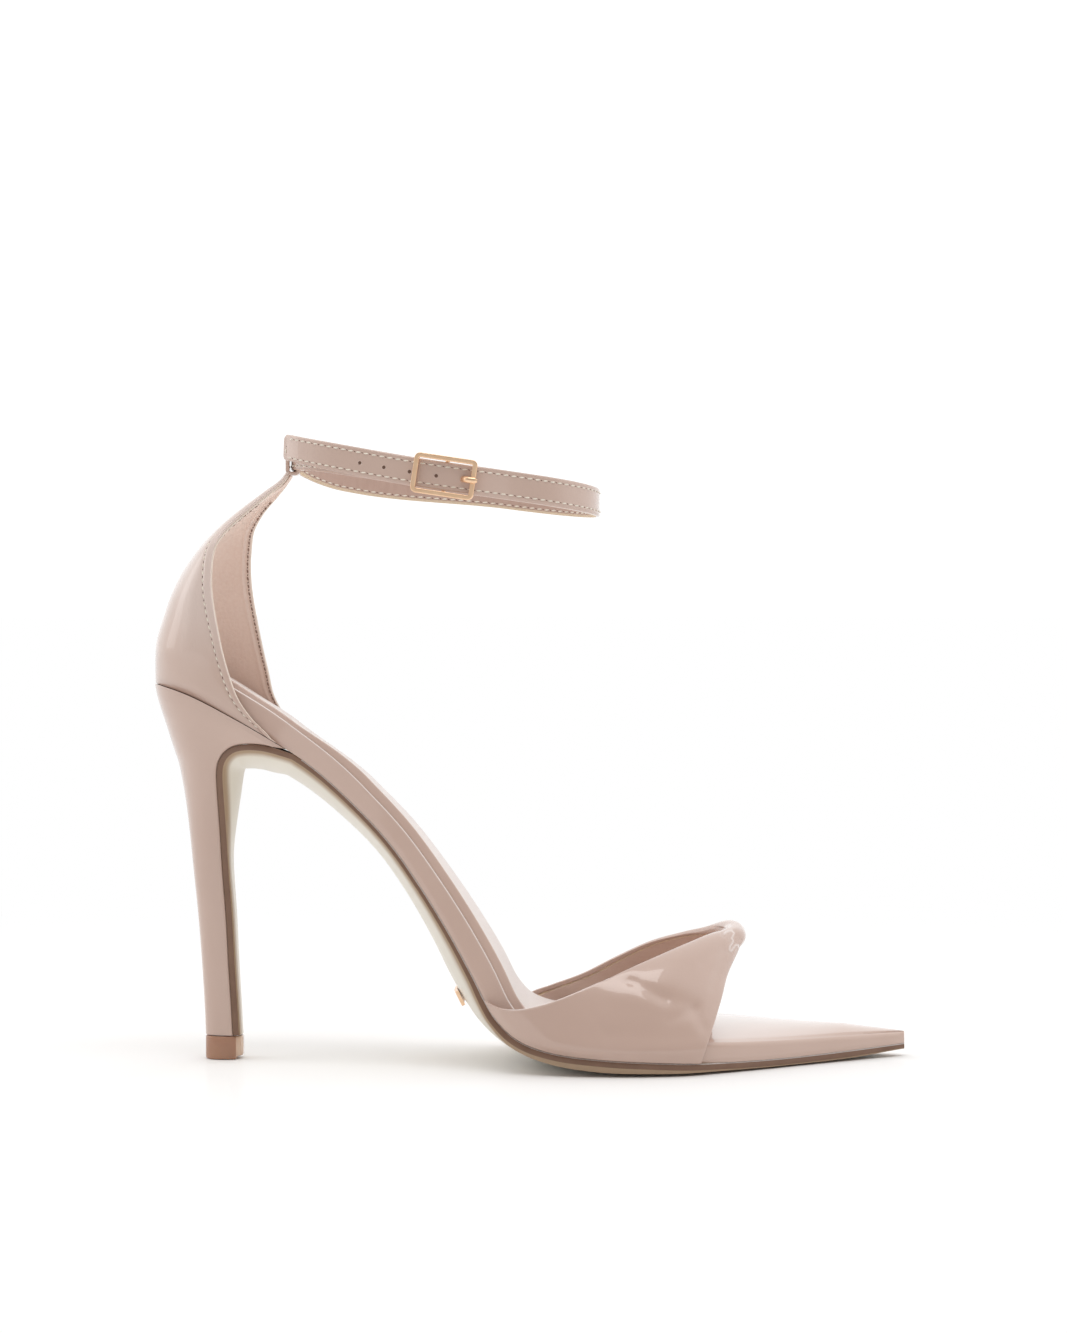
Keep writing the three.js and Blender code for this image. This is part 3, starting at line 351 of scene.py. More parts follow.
def finish(name, light, dark, drift_mm, grain_mm, relief_mm, detail=3.0, stretch=(1, 1, 1), stain=None,
           **settings):
    """A material of two tones that drift over drift_mm, with relief of relief_mm in grains of grain_mm.
    Where the mesh's point attribute of painted light is 1, the colour given for painted highlight or
    painted shade covers both tones."""
    material = bpy.data.materials.new(name)
    material.use_nodes = True
    tree = material.node_tree
    shader = tree.nodes["Principled BSDF"]
    for key, value in settings.items():
        shader.inputs[key.replace("_", " ")].default_value = value
    place = add_node(tree, "ShaderNodeTexCoord")
    sized = add_node(tree, "ShaderNodeMapping", [(place.outputs["Object"], "Vector")], Scale=stretch)
    drift = add_node(tree, "ShaderNodeTexNoise", [(sized.outputs["Vector"], "Vector")],
                     Scale=1000 / drift_mm, Detail=detail)
    tones = add_node(tree, "ShaderNodeMix", [(drift.outputs["Fac"], 0)], data_type="RGBA")
    tones.inputs[6].default_value = colour(light)
    tones.inputs[7].default_value = colour(dark)
    if stain:
        amount = add_node(tree, "ShaderNodeAttribute", attribute_name="stain")
        tones = add_node(tree, "ShaderNodeMix", [(amount.outputs["Fac"], 0), (tones.outputs[2], 6)],
                         data_type="RGBA")
        tones.inputs[7].default_value = colour(stain)
    tree.links.new(tones.outputs[2], shader.inputs["Base Color"])
    grain = add_node(tree, "ShaderNodeTexNoise", [(sized.outputs["Vector"], "Vector")],
                     Scale=1000 / grain_mm, Detail=detail)
    relief = add_node(tree, "ShaderNodeBump", [(grain.outputs["Fac"], "Height")], Strength=1.0,
                      Distance=relief_mm / 1000)
    tree.links.new(relief.outputs["Normal"], shader.inputs["Normal"])
    return material


# %% Patent leather
# IOR 1.5 is that of a polyurethane film. The film shows as a clear coat over softer leather. Where a piece
# marks painted light, a pale colour is painted over it as painted highlights and painted reflections.
def patent_leather(name, light, dark, swell_mm=14.0, swell_deep=0.05):
    """The finish of the leather below, and a clear coat whose swell is swell_deep mm high."""
    # The pale colour below is painted highlight and painted reflection
    material = finish(name, light, dark, 26.0, 0.7, 0.02, stain="#F5ECE8", Roughness=0.3, IOR=1.5,
                      Coat_Weight=1.0, Coat_Roughness=0.04, Coat_IOR=1.5)
    tree = material.node_tree
    place = add_node(tree, "ShaderNodeTexCoord")
    swell = add_node(tree, "ShaderNodeTexNoise", [(place.outputs["Object"], "Vector")],
                     Scale=1000 / swell_mm, Detail=1.5)
    film = add_node(tree, "ShaderNodeBump", [(swell.outputs["Fac"], "Height")], Strength=1.0,
                    Distance=swell_deep / 1000)
    tree.links.new(film.outputs["Normal"], tree.nodes["Principled BSDF"].inputs["Coat Normal"])
    return material


patent = patent_leather("nude patent leather", "#CAAFA1", "#C3A798")
heel_patent = patent_leather("nude patent leather on the heel", "#C8AD9F", "#C1A495", 30.0)
rand_patent = patent_leather("nude patent leather on the footbed", "#CDB1A3", "#C5A899", 20.0, 0.06)
vamp_patent = patent_leather("nude patent leather on the vamp", "#C8AC9E", "#C1A394", 16.0, 0.28)

# %% Linings, sock, sole and thread
# Brushed pigskin: a nap of fibres about 0.3 mm long scatters light, so it has no gloss
# Its darker second colour is painted shade, laid over the lining towards the heel seat
suede = finish("brushed pigskin lining", "#F5E4D9", "#E8D0C3", 0.9, 0.9, 0.12, detail=6.0,
               stain="#C9A896", Roughness=0.9, IOR=1.45, Sheen_Weight=0.25, Sheen_Roughness=0.4)

# Linings of the strap and the vamp: finished kid, smooth with fine creases square to the band. The vamp's
# copy is lighter, as painted light where the vamp's inside lies in shade
kid = finish("smooth kid lining", "#C6AA9D", "#B89889", 1.1, 1.1, 0.05, detail=4.0, stretch=(1, 1, 0.25),
             Roughness=0.45, IOR=1.5)
vamp_kid_lit = finish("smooth kid lining in the vamp, painted lighter", "#D9C0B3", "#CCAF9F", 1.1, 1.1, 0.05, detail=4.0,
                  stretch=(0.3, 1, 1), Roughness=0.45, IOR=1.5)

# Sock: pearly grained sheet with creases of 1 to 2 mm
satin = finish("pearl satin sock", "#E6DAD4", "#D8C8C0", 1.2, 1.2, 0.1, detail=5.0, stretch=(1, 2.4, 1),
               Roughness=0.42, IOR=1.5, Sheen_Weight=0.3)

# Outsole: a cream resin sheet, its edge trimmed and painted brown; next to the edge the bottom is darkened
# to tan as painted shade
cream = finish("cream resin sole", "#E6E0D4", "#DDD5C6", 18.0, 0.6, 0.02, stain="#A08263",
               Roughness=0.34, IOR=1.5)
edge_paint = finish("brown edge paint", "#846450", "#70523F", 5.0, 0.5, 0.03, Roughness=0.4, IOR=1.5)

# Cement that holds upper and sole: dried neoprene, wiped off with a little dust left in it
cement = finish("wiped cement line", "#D6CDC8", "#A0938C", 0.8, 0.8, 0.05, detail=4.0,
                Roughness=0.7, IOR=1.5)

# Top lift: moulded polyurethane, slightly see-through, so light goes a little way in
lift_plastic = finish("amber polyurethane", "#B58A70", "#9A705A", 6.0, 0.8, 0.02, Roughness=0.3, IOR=1.5,
                      Subsurface_Weight=0.3, Subsurface_Radius=(0.004, 0.002, 0.001), Subsurface_Scale=0.6)

# Its front was cut and then melted smooth, so it is glossier; its paler colour is a painted highlight
lift_gloss_and_highlight = finish("melted amber polyurethane with painted highlight", "#E9D0BA", "#B58A6C", 1.6, 1.6, 0.4, stretch=(1, 1, 0.35),
                    Roughness=0.12, IOR=1.5, Coat_Weight=0.6, Coat_Roughness=0.03)

# Thread: bonded polyester, three plies, so its shine breaks up along the twist
thread = finish("bonded polyester thread", "#F3ECE0", "#DDD1BF", 0.35, 0.35, 0.04, Roughness=0.5, IOR=1.5)
# Bobbin thread on the lining side, coloured brown as painted shade where it lies in the counter's shade
shaded_thread = finish("bobbin thread in painted shade", "#96796A", "#7C6052", 0.35, 0.35, 0.04, Roughness=0.6, IOR=1.5)
# Dark grains and discs of painted shade, put where needle holes and punched holes lie in shadow
shadow = finish("needle hole", "#765B4D", "#5C463B", 0.5, 0.5, 0.02, Roughness=0.9, IOR=1.45)

# Edges of the lining: raw on strap and vamp, folded and smoother on the counter, where the paler colour is
# partly the lining's cream and partly a painted highlight
lining_edge = finish("raw lining edge", "#E8D6BF", "#D4BB9D", 0.8, 0.3, 0.04, detail=4.0,
                     Roughness=0.8, IOR=1.45)
rim_edge_highlight = finish("folded lining edge with painted highlight", "#F4E9DD", "#E6D4C4", 0.8, 0.3, 0.04, detail=4.0,
                  Roughness=0.6, IOR=1.45)

# Buckle: zinc casting under rose gold plate, polished; metals keep the default IOR
gold = finish("polished rose gold plate", "#FAD9B8", "#EFC49C", 2.0, 2.0, 0.001, detail=4.0,
              Metallic=1.0, Roughness=0.3)

# %% [markdown]
# ## Footbed and sock
# The footbed is a bent board wrapped in patent leather. Its upper edge has a small step, and the
# padded sock sits on that step with its own wrapped edge.

# %% Footbed
footbed_rim, footbed_crown = 11.0, 2.2
sock_end = 0.61 * shoe_length
vamp_start = 0.54 * shoe_length  # where the step under the sock starts to fade out
pad_height, pad_inset, pad_lean = 2.3, 0.85, 0.3
board_pressed, pad_pressed = 2.3, 1.3  # thinner by this ahead of the heel seat


def long_stations(start, count):
    """Places along the shoe, closer together at the round back and at the tip."""
    share = np.linspace(0, 1, count)
    return mix(start, shoe_length, share - 0.62 * np.sin(2 * np.pi * share) / (2 * np.pi))


def pressed(x):
    """1 where the board is pressed thin ahead of the heel seat, 0 elsewhere."""
    return ease(x, 5, 30) * (1 - ease(x, 38, 58))


def rim_at(x):
    return footbed_rim * seam("rim", x) - board_pressed * pressed(x)


def step_at(x):
    """Depth of the step that carries the sock; it fades out under the vamp."""
    return (pad_height - pad_pressed * pressed(x)) * (1 - ease(x, vamp_start, sock_end))


def shoulder_at(x):
    """Radius of the wrap's upper edge: tight beside the sock, soft ahead of it."""
    return mix(0.55, 1.5, ease(x, vamp_start, sock_end))


def crown_at(x, half):
    return footbed_crown * ease(x, 0.5 * shoe_length, 0.75 * shoe_length) * np.minimum(1, half / 12)


def side_by_side(rows, *parts):
    """The parts of a profile, each an (across, rise) pair, spread over all rows and joined."""
    return [np.concatenate([np.broadcast_to(part[k], (rows, part[k].shape[1])) for part in parts], 1)
            for k in (0, 1)]


def both_sides(x, across, rise):
    """Mirrors half a profile (from the bottom's middle round to the top's) about the sole's middle."""
    lateral, medial = -edge_at(x, -1), edge_at(x, 1)
    centre = ((medial + lateral) / 2)[:, None]
    right = on_seam(x[:, None], centre + across, rise)
    left = on_seam(x[:, None], centre - across, rise)
    return np.concatenate([left, right[:, ::-1]], 1)


def footbed_grid():
    x = long_stations(seat_back + 0.45, 260)
    half = ((edge_at(x, -1) + edge_at(x, 1)) / 2)[:, None]
    rim = (rim_at(x) - step_at(x))[:, None]
    crown = crown_at(x, half[:, 0])[:, None]
    round_ = np.minimum(shoulder_at(x)[:, None], np.minimum(0.7 * half, 0.4 * rim))
    undercut = np.minimum(0.35, 0.3 * half)
    along = np.linspace(0.02, 1, 6)[None, :]
    bottom = (along * (half - undercut), 0 * along + 0 * half)
    lower = np.linspace(0.15, 1, 5)[None, :]
    side_low = (half - undercut * (1 - np.sin(lower * np.pi / 2)), 0.3 * rim * lower)
    up = np.linspace(0.15, 1, 5)[None, :]
    side = (half + 0 * up, mix(0.3 * rim, rim - round_, up))
    turn = np.linspace(0.1, 1, 9)[None, :] * np.pi / 2
    shoulder = (half - round_ * (1 - np.cos(turn)), rim - round_ * (1 - np.sin(turn)))
    inward = np.linspace(0.96, 0.02, 14)[None, :]
    top_across = inward * (half - round_)
    top = (top_across, rim + crown * (1 - (top_across / half) ** 2))
    across, rise = side_by_side(len(x), bottom, side_low, side, shoulder, top)
    below = along.size + lower.size + up.size
    # Painted highlight: a pale line painted along the wrap's rounded shoulder, beside the sock
    stretch = np.concatenate([np.zeros(below), np.sin(turn[0] * 2) ** 2, np.zeros(inward.size)])
    shown = ease(x, 0, 20) * (1 - ease(x, 0.5 * shoe_length, sock_end))
    pale = 0.7 * np.concatenate([stretch, stretch[::-1]]) * shown[:, None]
    return both_sides(x, across, rise), pale


footbed_surface, footbed_highlight = footbed_grid()
grid_piece("footbed_wrap", footbed_surface, [rand_patent], stands_for=("footbed",), slot="patent", sharp=60,
           stain=footbed_highlight)


# %% Sock, with its wrapped edge
def sock_grid():
    x = long_stations(seat_back + 0.45, 330)
    x = x[(x > seat_back + 1.5) & (x < sock_end)]
    half = ((edge_at(x, -1) + edge_at(x, 1)) / 2)[:, None]
    reach = half - pad_inset
    base = (rim_at(x) - step_at(x))[:, None] + 0.02
    crown = crown_at(x, half[:, 0])[:, None]
    thick = step_at(x)[:, None] + 0.25
    turn = np.linspace(0, 1, 8)[None, :] * np.pi / 2
    round_ = np.minimum(0.6, 0.5 * thick)
    bottom = np.linspace(0.02, 0.97, 6)[None, :]
    low = (bottom * reach, base + crown * (1 - (bottom * reach / half) ** 2))
    up = np.linspace(0, 1, 5)[None, :]
    side = (reach - pad_lean * up, base + (thick - round_) * up)
    shoulder = (reach - pad_lean - round_ * (1 - np.cos(turn)), base + thick - round_ * (1 - np.sin(turn)))
    inward = np.linspace(0.99, 0.02, 16)[None, :]
    top_across = inward * (reach - pad_lean - round_)
    top = (top_across, base + thick + crown * (1 - (top_across / half) ** 2))
    across, rise = side_by_side(len(x), low, side, shoulder, top)
    on_top = (np.arange(across.shape[1]) >= bottom.size + up.size + 5).astype(int)
    return both_sides(x, across, rise), np.concatenate([on_top, on_top[::-1]])


sock_surface, sock_pick = sock_grid()
grid_piece("sock_pad", sock_surface, [rand_patent, satin], pick=sock_pick, stands_for=("sock",),
           slot="sock", sharp=60)

# %% [markdown]
# ## Outsole and heel
# The outsole is one resin sheet that runs from the toe through the waist and turns down the front of
# the heel. Its trimmed edge is painted, so edge and bottom are two materials on one mesh.

# %% Outsole
sole_edge, sole_belly = 2.0, 5.2
paint_height, cement_line = 1.9, 0.3
bottom_columns = 16  # grid columns over half the sole's bottom
shade_behind, shade_ahead = 2.3, 4.5  # width of the band of painted shade beside the edge, under the waist and further ahead
last_section = heel_rows["x"][-1]
swell_rows = table("x swell", [(0, 1), (0.2, 0.96), (0.5, 0.77), (0.78, 0.42), (0.94, 0.12), (1, 0)])


def sole_outset(x):
    """Under the vamp the sole stands out by the band's wall, elsewhere it lies a little inside."""
    rear = ease(x, 0.43 * shoe_length, 0.49 * shoe_length)
    front = 1 - ease(x, 0.69 * shoe_length, 0.76 * shoe_length)
    return -0.3 + (wall + fit_gap) * rear * front


def heel_line(place):
    """Breast line shared by heel and outsole: point, normal, half width and axis at each section."""
    row = {name: read(heel_rows, name, place) for name in heel_rows if name != "x"}
    low, high = np.maximum(place - 0.1, 0), np.minimum(place + 0.1, last_section)
    along_x = (read(heel_rows, "front_x", high) - read(heel_rows, "front_x", low)) * breast_x
    along_z = (read(heel_rows, "front_z", high) - read(heel_rows, "front_z", low)) * seat_height
    row["normal"] = unit(np.stack([along_z, 0 * along_z, -along_x], -1))
    row["front"] = np.stack([row["front_x"] * breast_x, 0 * along_z, row["front_z"] * seat_height], -1)
    row["wide"] = row["half"] * outer_half
    row["axis"] = seat_axis(row["front"][:, 0]) * (0.4 + 0.6 * row["half"])
    return row


def sole_profile(half, edge, belly):
    """Across and depth of half the sole's section: swollen bottom, bare edge below, painted edge,
    a line of cement and the flat top."""
    share = np.linspace(0.02, 0.97, bottom_columns)[None, :]
    bottom = (share * half, -edge - belly * read(swell_rows, "swell", share))
    paint = np.minimum(paint_height, 0.85 * edge)
    trim = np.linspace(0, 1, 4)[None, :]
    bare = (half - 0.25 * (1 - trim), mix(-0.97 * edge, -paint, trim))
    painted = (half + 0.08 * np.sin(np.pi * trim[:, 1:]), mix(-paint, -cement_line + 0 * edge, trim[:, 1:]))
    inward = np.array([[0.99, 0.6, 0.3, 0.05]])
    top = (inward * half, 0 * inward)
    return side_by_side(len(half), bottom, bare, painted, top)


def sole_rings(origin, normal, lateral, medial, edge, belly, slope):
    """The profile set out both ways from each point, along the normal and down the slope."""
    half, centre = (medial - lateral) / 2, (medial + lateral) / 2
    across, rise = sole_profile(half[:, None], edge[:, None], belly[:, None])
    sides = []
    for sign in (-1, 1):
        y = centre[:, None] + sign * across
        z = origin[:, 2:3] - slope[:, None] * (y - lateral[:, None])
        base = np.stack([origin[:, 0:1] + 0 * y, y, z], -1) + normal[:, None, :] * rise[..., None]
        base[..., 2] = np.maximum(base[..., 2], 0)
        sides.append(base)
    return np.concatenate([sides[0], sides[1][:, ::-1]], 1)


def outsole_grid():
    share = np.linspace(0, 1, 90)
    x = mix(shoe_length, breast_x + 5.5, share - 0.45 * np.sin(2 * np.pi * share) / (2 * np.pi))
    outset = sole_outset(x)
    lateral, medial = -edge_at(x, -1) - outset, edge_at(x, 1) + outset
    waist = sole_rings(
        on_seam(x, -edge_at(x, -1), -0.05), seam_normal(x), lateral, medial,
        sole_edge * seam("edge", x), sole_belly * seam("belly", x), np.tan(np.radians(seam("roll", x))))
    line = heel_line(np.linspace(0, last_section, 60))
    wide = line["wide"] - 0.2
    belly = sole_belly * mix(0.12, 1, ease(line["front_z"], 0.5, 0.8))
    slope = np.tan(np.radians(seam("roll", breast_x))) * line["roll"]
    breast = sole_rings(line["front"], line["normal"], line["axis"] - wide, line["axis"] + wide,
                        sole_edge + 0 * wide, belly, slope)
    return smooth_rows(np.concatenate([waist, breast]), 420)


outsole_surface = outsole_grid()
half_pick = np.array([0] * (bottom_columns + 3) + [1] * 3 + [2] + [0] * 4)
whole_pick = np.concatenate([half_pick, np.roll(half_pick[::-1], -1)])
at_breast = outsole_surface[:-1, :, 0].mean(1) < breast_x + 6
whole_pick = np.where((whole_pick == 2) & at_breast[:, None], 1, whole_pick)
half_sheet = outsole_surface[:, :len(half_pick)]
# Painted shade: the bottom turns tan towards the painted edge, fading over a few millimetres
to_edge = np.linalg.norm(half_sheet - half_sheet[:, bottom_columns:bottom_columns + 1], axis=2)
shade_wide = mix(shade_behind, shade_ahead, ease(half_sheet[:, :1, 0], 95, 115))
wiped = 0.9 * np.exp(-(to_edge / shade_wide) ** 4)
grid_piece("outsole_sheet", outsole_surface, [cream, edge_paint, cement], pick=whole_pick,
           stands_for=("outsole",), slot="outsole", sharp=50,
           stain=np.concatenate([wiped, wiped[:, ::-1]], 1))


# %% Heel
tongue_length = 3.2


def heel_grid():
    """D section: front + (front - back) * sin^p along and cos^p across, with rounded front corners."""
    place = np.linspace(0, last_section, 150)
    line = heel_line(place)
    front = line["front"] + line["normal"] * 0.06
    back_x = line["back_x"] * breast_x
    depth = front[:, 0] - back_x
    power = 2 / line["square"]
    radius = np.minimum(0.9, 0.3 * depth)
    start = np.arcsin(np.clip((radius / depth) ** (1 / power), 0, 1))
    t = np.linspace(0, 1, 48)[None, :]
    angle = mix(start[:, None], np.pi - start[:, None], t)
    x_back = front[:, :1] - depth[:, None] * np.sin(angle) ** power[:, None]
    y_back = -np.sign(np.cos(angle)) * np.abs(np.cos(angle)) ** power[:, None]
    y_back = y_back * line["wide"][:, None]
    turn = np.linspace(0, 1, 6)[None, :-1] * np.pi / 2
    edge_x = front[:, :1] - radius[:, None] * (1 - np.sin(turn[:, ::-1]))
    edge_y = line["wide"][:, None] - radius[:, None] * (1 - np.cos(turn[:, ::-1]))
    flat = np.linspace(0.05, 0.95, 5)[None, :] * (line["wide"] - radius)[:, None]
    flat_x = front[:, :1] + 0 * flat
    x = np.concatenate([flat_x, edge_x, x_back, edge_x[:, ::-1], flat_x[:, ::-1]], 1)
    y = np.concatenate([-flat, -edge_y, y_back, edge_y[:, ::-1], flat[:, ::-1]], 1)
    y = y + line["axis"][:, None]
    level = np.clip((x - back_x[:, None]) / depth[:, None], 0, 1)
    share = (place / last_section)[:, None]
    hump = 2 * np.sin(np.pi * level) * np.maximum(0, 1 - share * 4)
    z = mix(seat_height * line["back_z"][:, None], front[:, 2:3], level) + hump
    slope = np.tan(np.radians(seam("roll", breast_x))) * line["roll"][:, None]
    z = z - slope * (y - line["axis"][:, None] + line["wide"][:, None]) * level
    tongue = ease(level[0], 0.99, 1.0)
    x[0] += tongue_length * tongue
    y[0] = line["axis"][0] + (y[0] - line["axis"][0]) * (1 - 0.085 * tongue)
    z[0] = seam_at(x[0], y[0]) - 0.12
    return np.stack([x, y, z], -1)


grid_piece("heel_wrap", heel_grid(), [heel_patent], stands_for=("heel",), slot="patent", sharp=50)


# %% Top lift
lift_height, lift_long, lift_bevel = 6.8, 11.2, 0.5
cut_front, cut_rise = 0.62, 0.9  # the melted front starts at this share and hangs this much higher


def lift_grid():
    """Plan: middle + (half - bevel) * (cos^p, sin^p), lofted up with quarter round edges."""
    half_long, half_wide = lift_long / 2, 0.208 * outer_half
    angle = np.linspace(0, 2 * np.pi, 72, endpoint=False) + np.pi / 72
    power = np.where(np.cos(angle) > 0, 0.72, 0.9)
    plan_x = np.sign(np.cos(angle)) * np.abs(np.cos(angle)) ** power
    plan_y = np.sign(np.sin(angle)) * np.abs(np.sin(angle)) ** power
    turn = np.linspace(0, np.pi / 2, 6)
    round_ = lift_bevel * (1 - np.sin(turn))
    rest = lift_bevel * np.array([3, 1.6])
    inset = np.concatenate([rest, round_, round_[::-1], rest[::-1]])[:, None]
    low = np.concatenate([0 * rest, round_[::-1], lift_height - round_, lift_height + 0 * rest])[:, None]
    x = 0.398 * breast_x + half_long + (half_long - inset) * plan_x
    y = lift_axis + (half_wide - inset) * plan_y
    at_front = ease(plan_x, cut_front, cut_front + 0.12)
    return np.stack([x, y, low + cut_rise * at_front * (1 - ease(low, 0.5, 4))], -1), plan_x


lift_surface, lift_share = lift_grid()
# The front faces get the glossy copy, whose paler colour is a painted highlight
lift_pick = (np.minimum(lift_share, np.roll(lift_share, -1)) > cut_front).astype(int)
grid_piece("top_lift_block", lift_surface, [lift_plastic, lift_gloss_and_highlight], pick=lift_pick,
           stands_for=("top_lift",), slot="top_lift", sharp=50)

# %% [markdown]
# ## Heel counter
# The counter is outer leather, a stiffener and a brushed lining, closed by a row of stitches 2.2 mm
# behind the front edge. The leather puffs up a little between the stitches and the edge.

# %% Counter wall
counter_height, counter_lean = 171.6, 39.6
stitch_inset, lining_inset = 2.2, 0.5  # seams behind the front edge, outside and inside
counter_rows = table("x back_x back_z edge_x edge_z half inner", [
    (0, 0.008, 0.652, 0.93, 0.545, 1.0, 0.1),
    (1, 0.006, 0.668, 0.795, 0.578, 1.0, 0.14),
    (2, 0.008, 0.69, 0.665, 0.618, 1.0, 0.175),
    (3, 0.018, 0.717, 0.59, 0.662, 0.99, 0.205),
    (4, 0.066, 0.755, 0.528, 0.715, 0.975, 0.215),
    (5, 0.126, 0.794, 0.468, 0.79, 0.94, 0.215),
    (6, 0.215, 0.835, 0.458, 0.838, 0.87, 0.21),
    (7, 0.335, 0.874, 0.48, 0.879, 0.75, 0.2),
    (8, 0.46, 0.906, 0.56, 0.908, 0.61, 0.145),
    (9, 0.61, 0.936, 0.69, 0.937, 0.45, 0.09),
    (10, 0.79, 0.967, 0.85, 0.968, 0.3, 0.05),
    (11, 0.925, 0.988, 0.955, 0.989, 0.21, 0.02),
    (12, 0.985, 1.004, 0.998, 1.004, 0.17, 0.0),
])


def counter_sheet(place, share):
    """Superellipse round the heel at each level, drawn from its back to its front edge."""
    row = {name: read(counter_rows, name, place)[:, None] for name in counter_rows if name != "x"}
    angle = share[None, :] * np.pi / 2
    power = 2 / 2.4
    forward = 1 - np.cos(angle) ** power
    edge_x = row["edge_x"] + np.where(share > 0, row["inner"] * share**2, 0)
    x = counter_lean * mix(row["back_x"], edge_x, forward)
    across = np.sign(share) * np.abs(np.sin(angle)) ** power
    y = seat_axis(x) * row["half"] + row["half"] * outer_half * across
    z = counter_height * mix(row["back_z"], row["edge_z"], forward)
    foot = seam_at(x, y) + 0.1
    lifted = np.maximum(z, foot + 2 * place[:, None])
    return np.stack([x, y, mix(foot, lifted, np.minimum(1, 2 * place[:, None]))], -1)


def surface_normals(grid):
    """Cross product of the differences along rows and columns."""
    return unit(np.cross(np.gradient(grid, axis=0), np.gradient(grid, axis=1)))


lip_places = np.array([0.04, 0.12, 0.24, 0.38, 0.5, 0.57, 0.63, 0.7, 0.8, 0.9, 0.97])
lip_bulges = np.array([0.12, 0.22, 0.26, 0.2, 0.06, -0.12, 0.08, 0.4, 0.5, 0.42, 0.16])
lip_count = len(lip_places)


def walled(sheet, outward, thickness):
    """Wall round a sheet: outer side, edge, inner side, edge. An edge is the folded leather's round,
    a groove, and the smaller round of the lining."""
    inner = sheet - outward * thickness

    def lip(column, direction):
        edge = mix(sheet[:, column][:, None], inner[:, column][:, None], lip_places[None, :, None])
        return edge + direction[:, None] * lip_bulges[None, :, None]

    low = lip(0, unit(sheet[:, 0] - sheet[:, 1]))
    high = lip(-1, unit(sheet[:, -1] - sheet[:, -2]))
    half = lip_count // 2 + 1
    front = np.concatenate([low[:, :half][:, ::-1], sheet, high[:, :half]], 1)
    back = np.concatenate([high[:, half:], inner[:, ::-1], low[:, half:][:, ::-1]], 1)
    return np.concatenate([front, back], 1)


counter_levels = np.concatenate([np.linspace(0, 1, 30)[:-1], np.linspace(1, 12, 190)])
even = np.linspace(0, 1, 121)
column_share = mix(0.5 - 0.5 * np.cos(np.pi * even), even, 0.4)  # closer together at both edges
dense_sheet = counter_sheet(counter_levels, np.linspace(-1, 1, 401))
counter_shell, counter_girth = even_columns(dense_sheet, column_share)
counter_out = surface_normals(counter_shell)
if counter_out[60, 60, 0] > 0:  # at the back of the heel the outer side looks backwards
    counter_out = -counter_out
counter_out[0] = unit(counter_out[0] * [1, 1, 0])
from_edge = np.minimum(column_share, 1 - column_share)[None, :] * counter_girth[:, None]
seam_groove = 0.16 * np.exp(-((from_edge - stitch_inset) / 0.4) ** 2)
puff = 0.28 * (1 - ease(from_edge, stitch_inset - 0.7, stitch_inset - 0.1)) - seam_groove
counter_wall = walled(counter_shell + counter_out * puff[..., None], counter_out, wall)
columns, lip_half = counter_wall.shape[1], lip_count // 2
first_lining = 2 * (lip_half + 1) + len(even)
counter_pick = np.zeros(columns, int)
counter_pick[first_lining:] = 2
counter_pick[first_lining + lip_half:columns - lip_half - 2] = 1

# The patent is painted paler over the upper front as a painted reflection, and the lining is painted darker
# towards the heel seat as painted shade
height = counter_wall[..., 2]
lining_shade = 0.58 * (1 - ease(height, 104, 138))
counter_reflection = 0.3 * ease(height, 108, 138) * ease(counter_wall[..., 0], 5, 12)
counter_stain = np.where(np.arange(columns) < first_lining, counter_reflection, lining_shade)
grid_piece("counter_wall", counter_wall, [patent, suede, rim_edge_highlight], pick=counter_pick,
           stain=counter_stain, stands_for=("counter",), slot="patent", sharp=75)


# %% [markdown]
# ## Stitches
# A stitch is a short grain of thread that sinks at both ends into its needle hole. One grain is made
# once and repeated along the seam as one joined mesh, with a few dozen faces each.

# %% A row of stitches
def grain(rings=5, sides=6):
    """Unit capsule along x: radius (1 - u^4)^0.5 at each end."""
    u = np.linspace(-1, 1, rings)
    radius = np.sqrt(np.maximum(1 - u**4, 0.05))
    angle = 2 * np.pi * np.arange(sides) / sides
    ring = np.stack([0 * angle, np.cos(angle), np.sin(angle)], -1)
    points = ring[None] * radius[:, None, None]
    points[..., 0] = u[:, None]
    return points.reshape(-1, 3), round_quads(rings, sides)


def along_path(path, out, pitch, offset=0.0):
    """Points, directions and outward directions at even steps along a line of points."""
    step = np.linalg.norm(np.diff(path, axis=0), axis=1)
    at = np.concatenate([[0], np.cumsum(step)])
    wanted = np.arange(offset + pitch / 2, at[-1] - pitch / 2, pitch)
    sample = lambda values, place: np.stack([np.interp(place, at, values[:, k]) for k in range(3)], -1)
    centre = sample(path, wanted)
    return centre, unit(sample(path, wanted + 0.3) - centre), unit(sample(out, wanted))


def grains(centre, along, out, size):
    """Grains of the given (length, width, height) / 2 turned into each place."""
    unit_points, unit_quads = grain()
    side = unit(np.cross(out, along))
    turn = np.stack([along * size[0], side * size[1], out * size[2]], 1)
    points = np.einsum("kj,sjc->skc", unit_points, turn) + centre[:, None]
    quads = unit_quads[None] + (np.arange(len(centre)) * len(unit_points))[:, None, None]
    return points.reshape(-1, 3), quads.reshape(-1, 4)


def join(parts):
    """Several (points, quads) as one."""
    points, quads, start = [], [], 0
    for part_points, part_quads in parts:
        points.append(part_points)
        quads.append(part_quads + start)
        start += len(part_points)
    return np.concatenate(points), np.concatenate(quads)


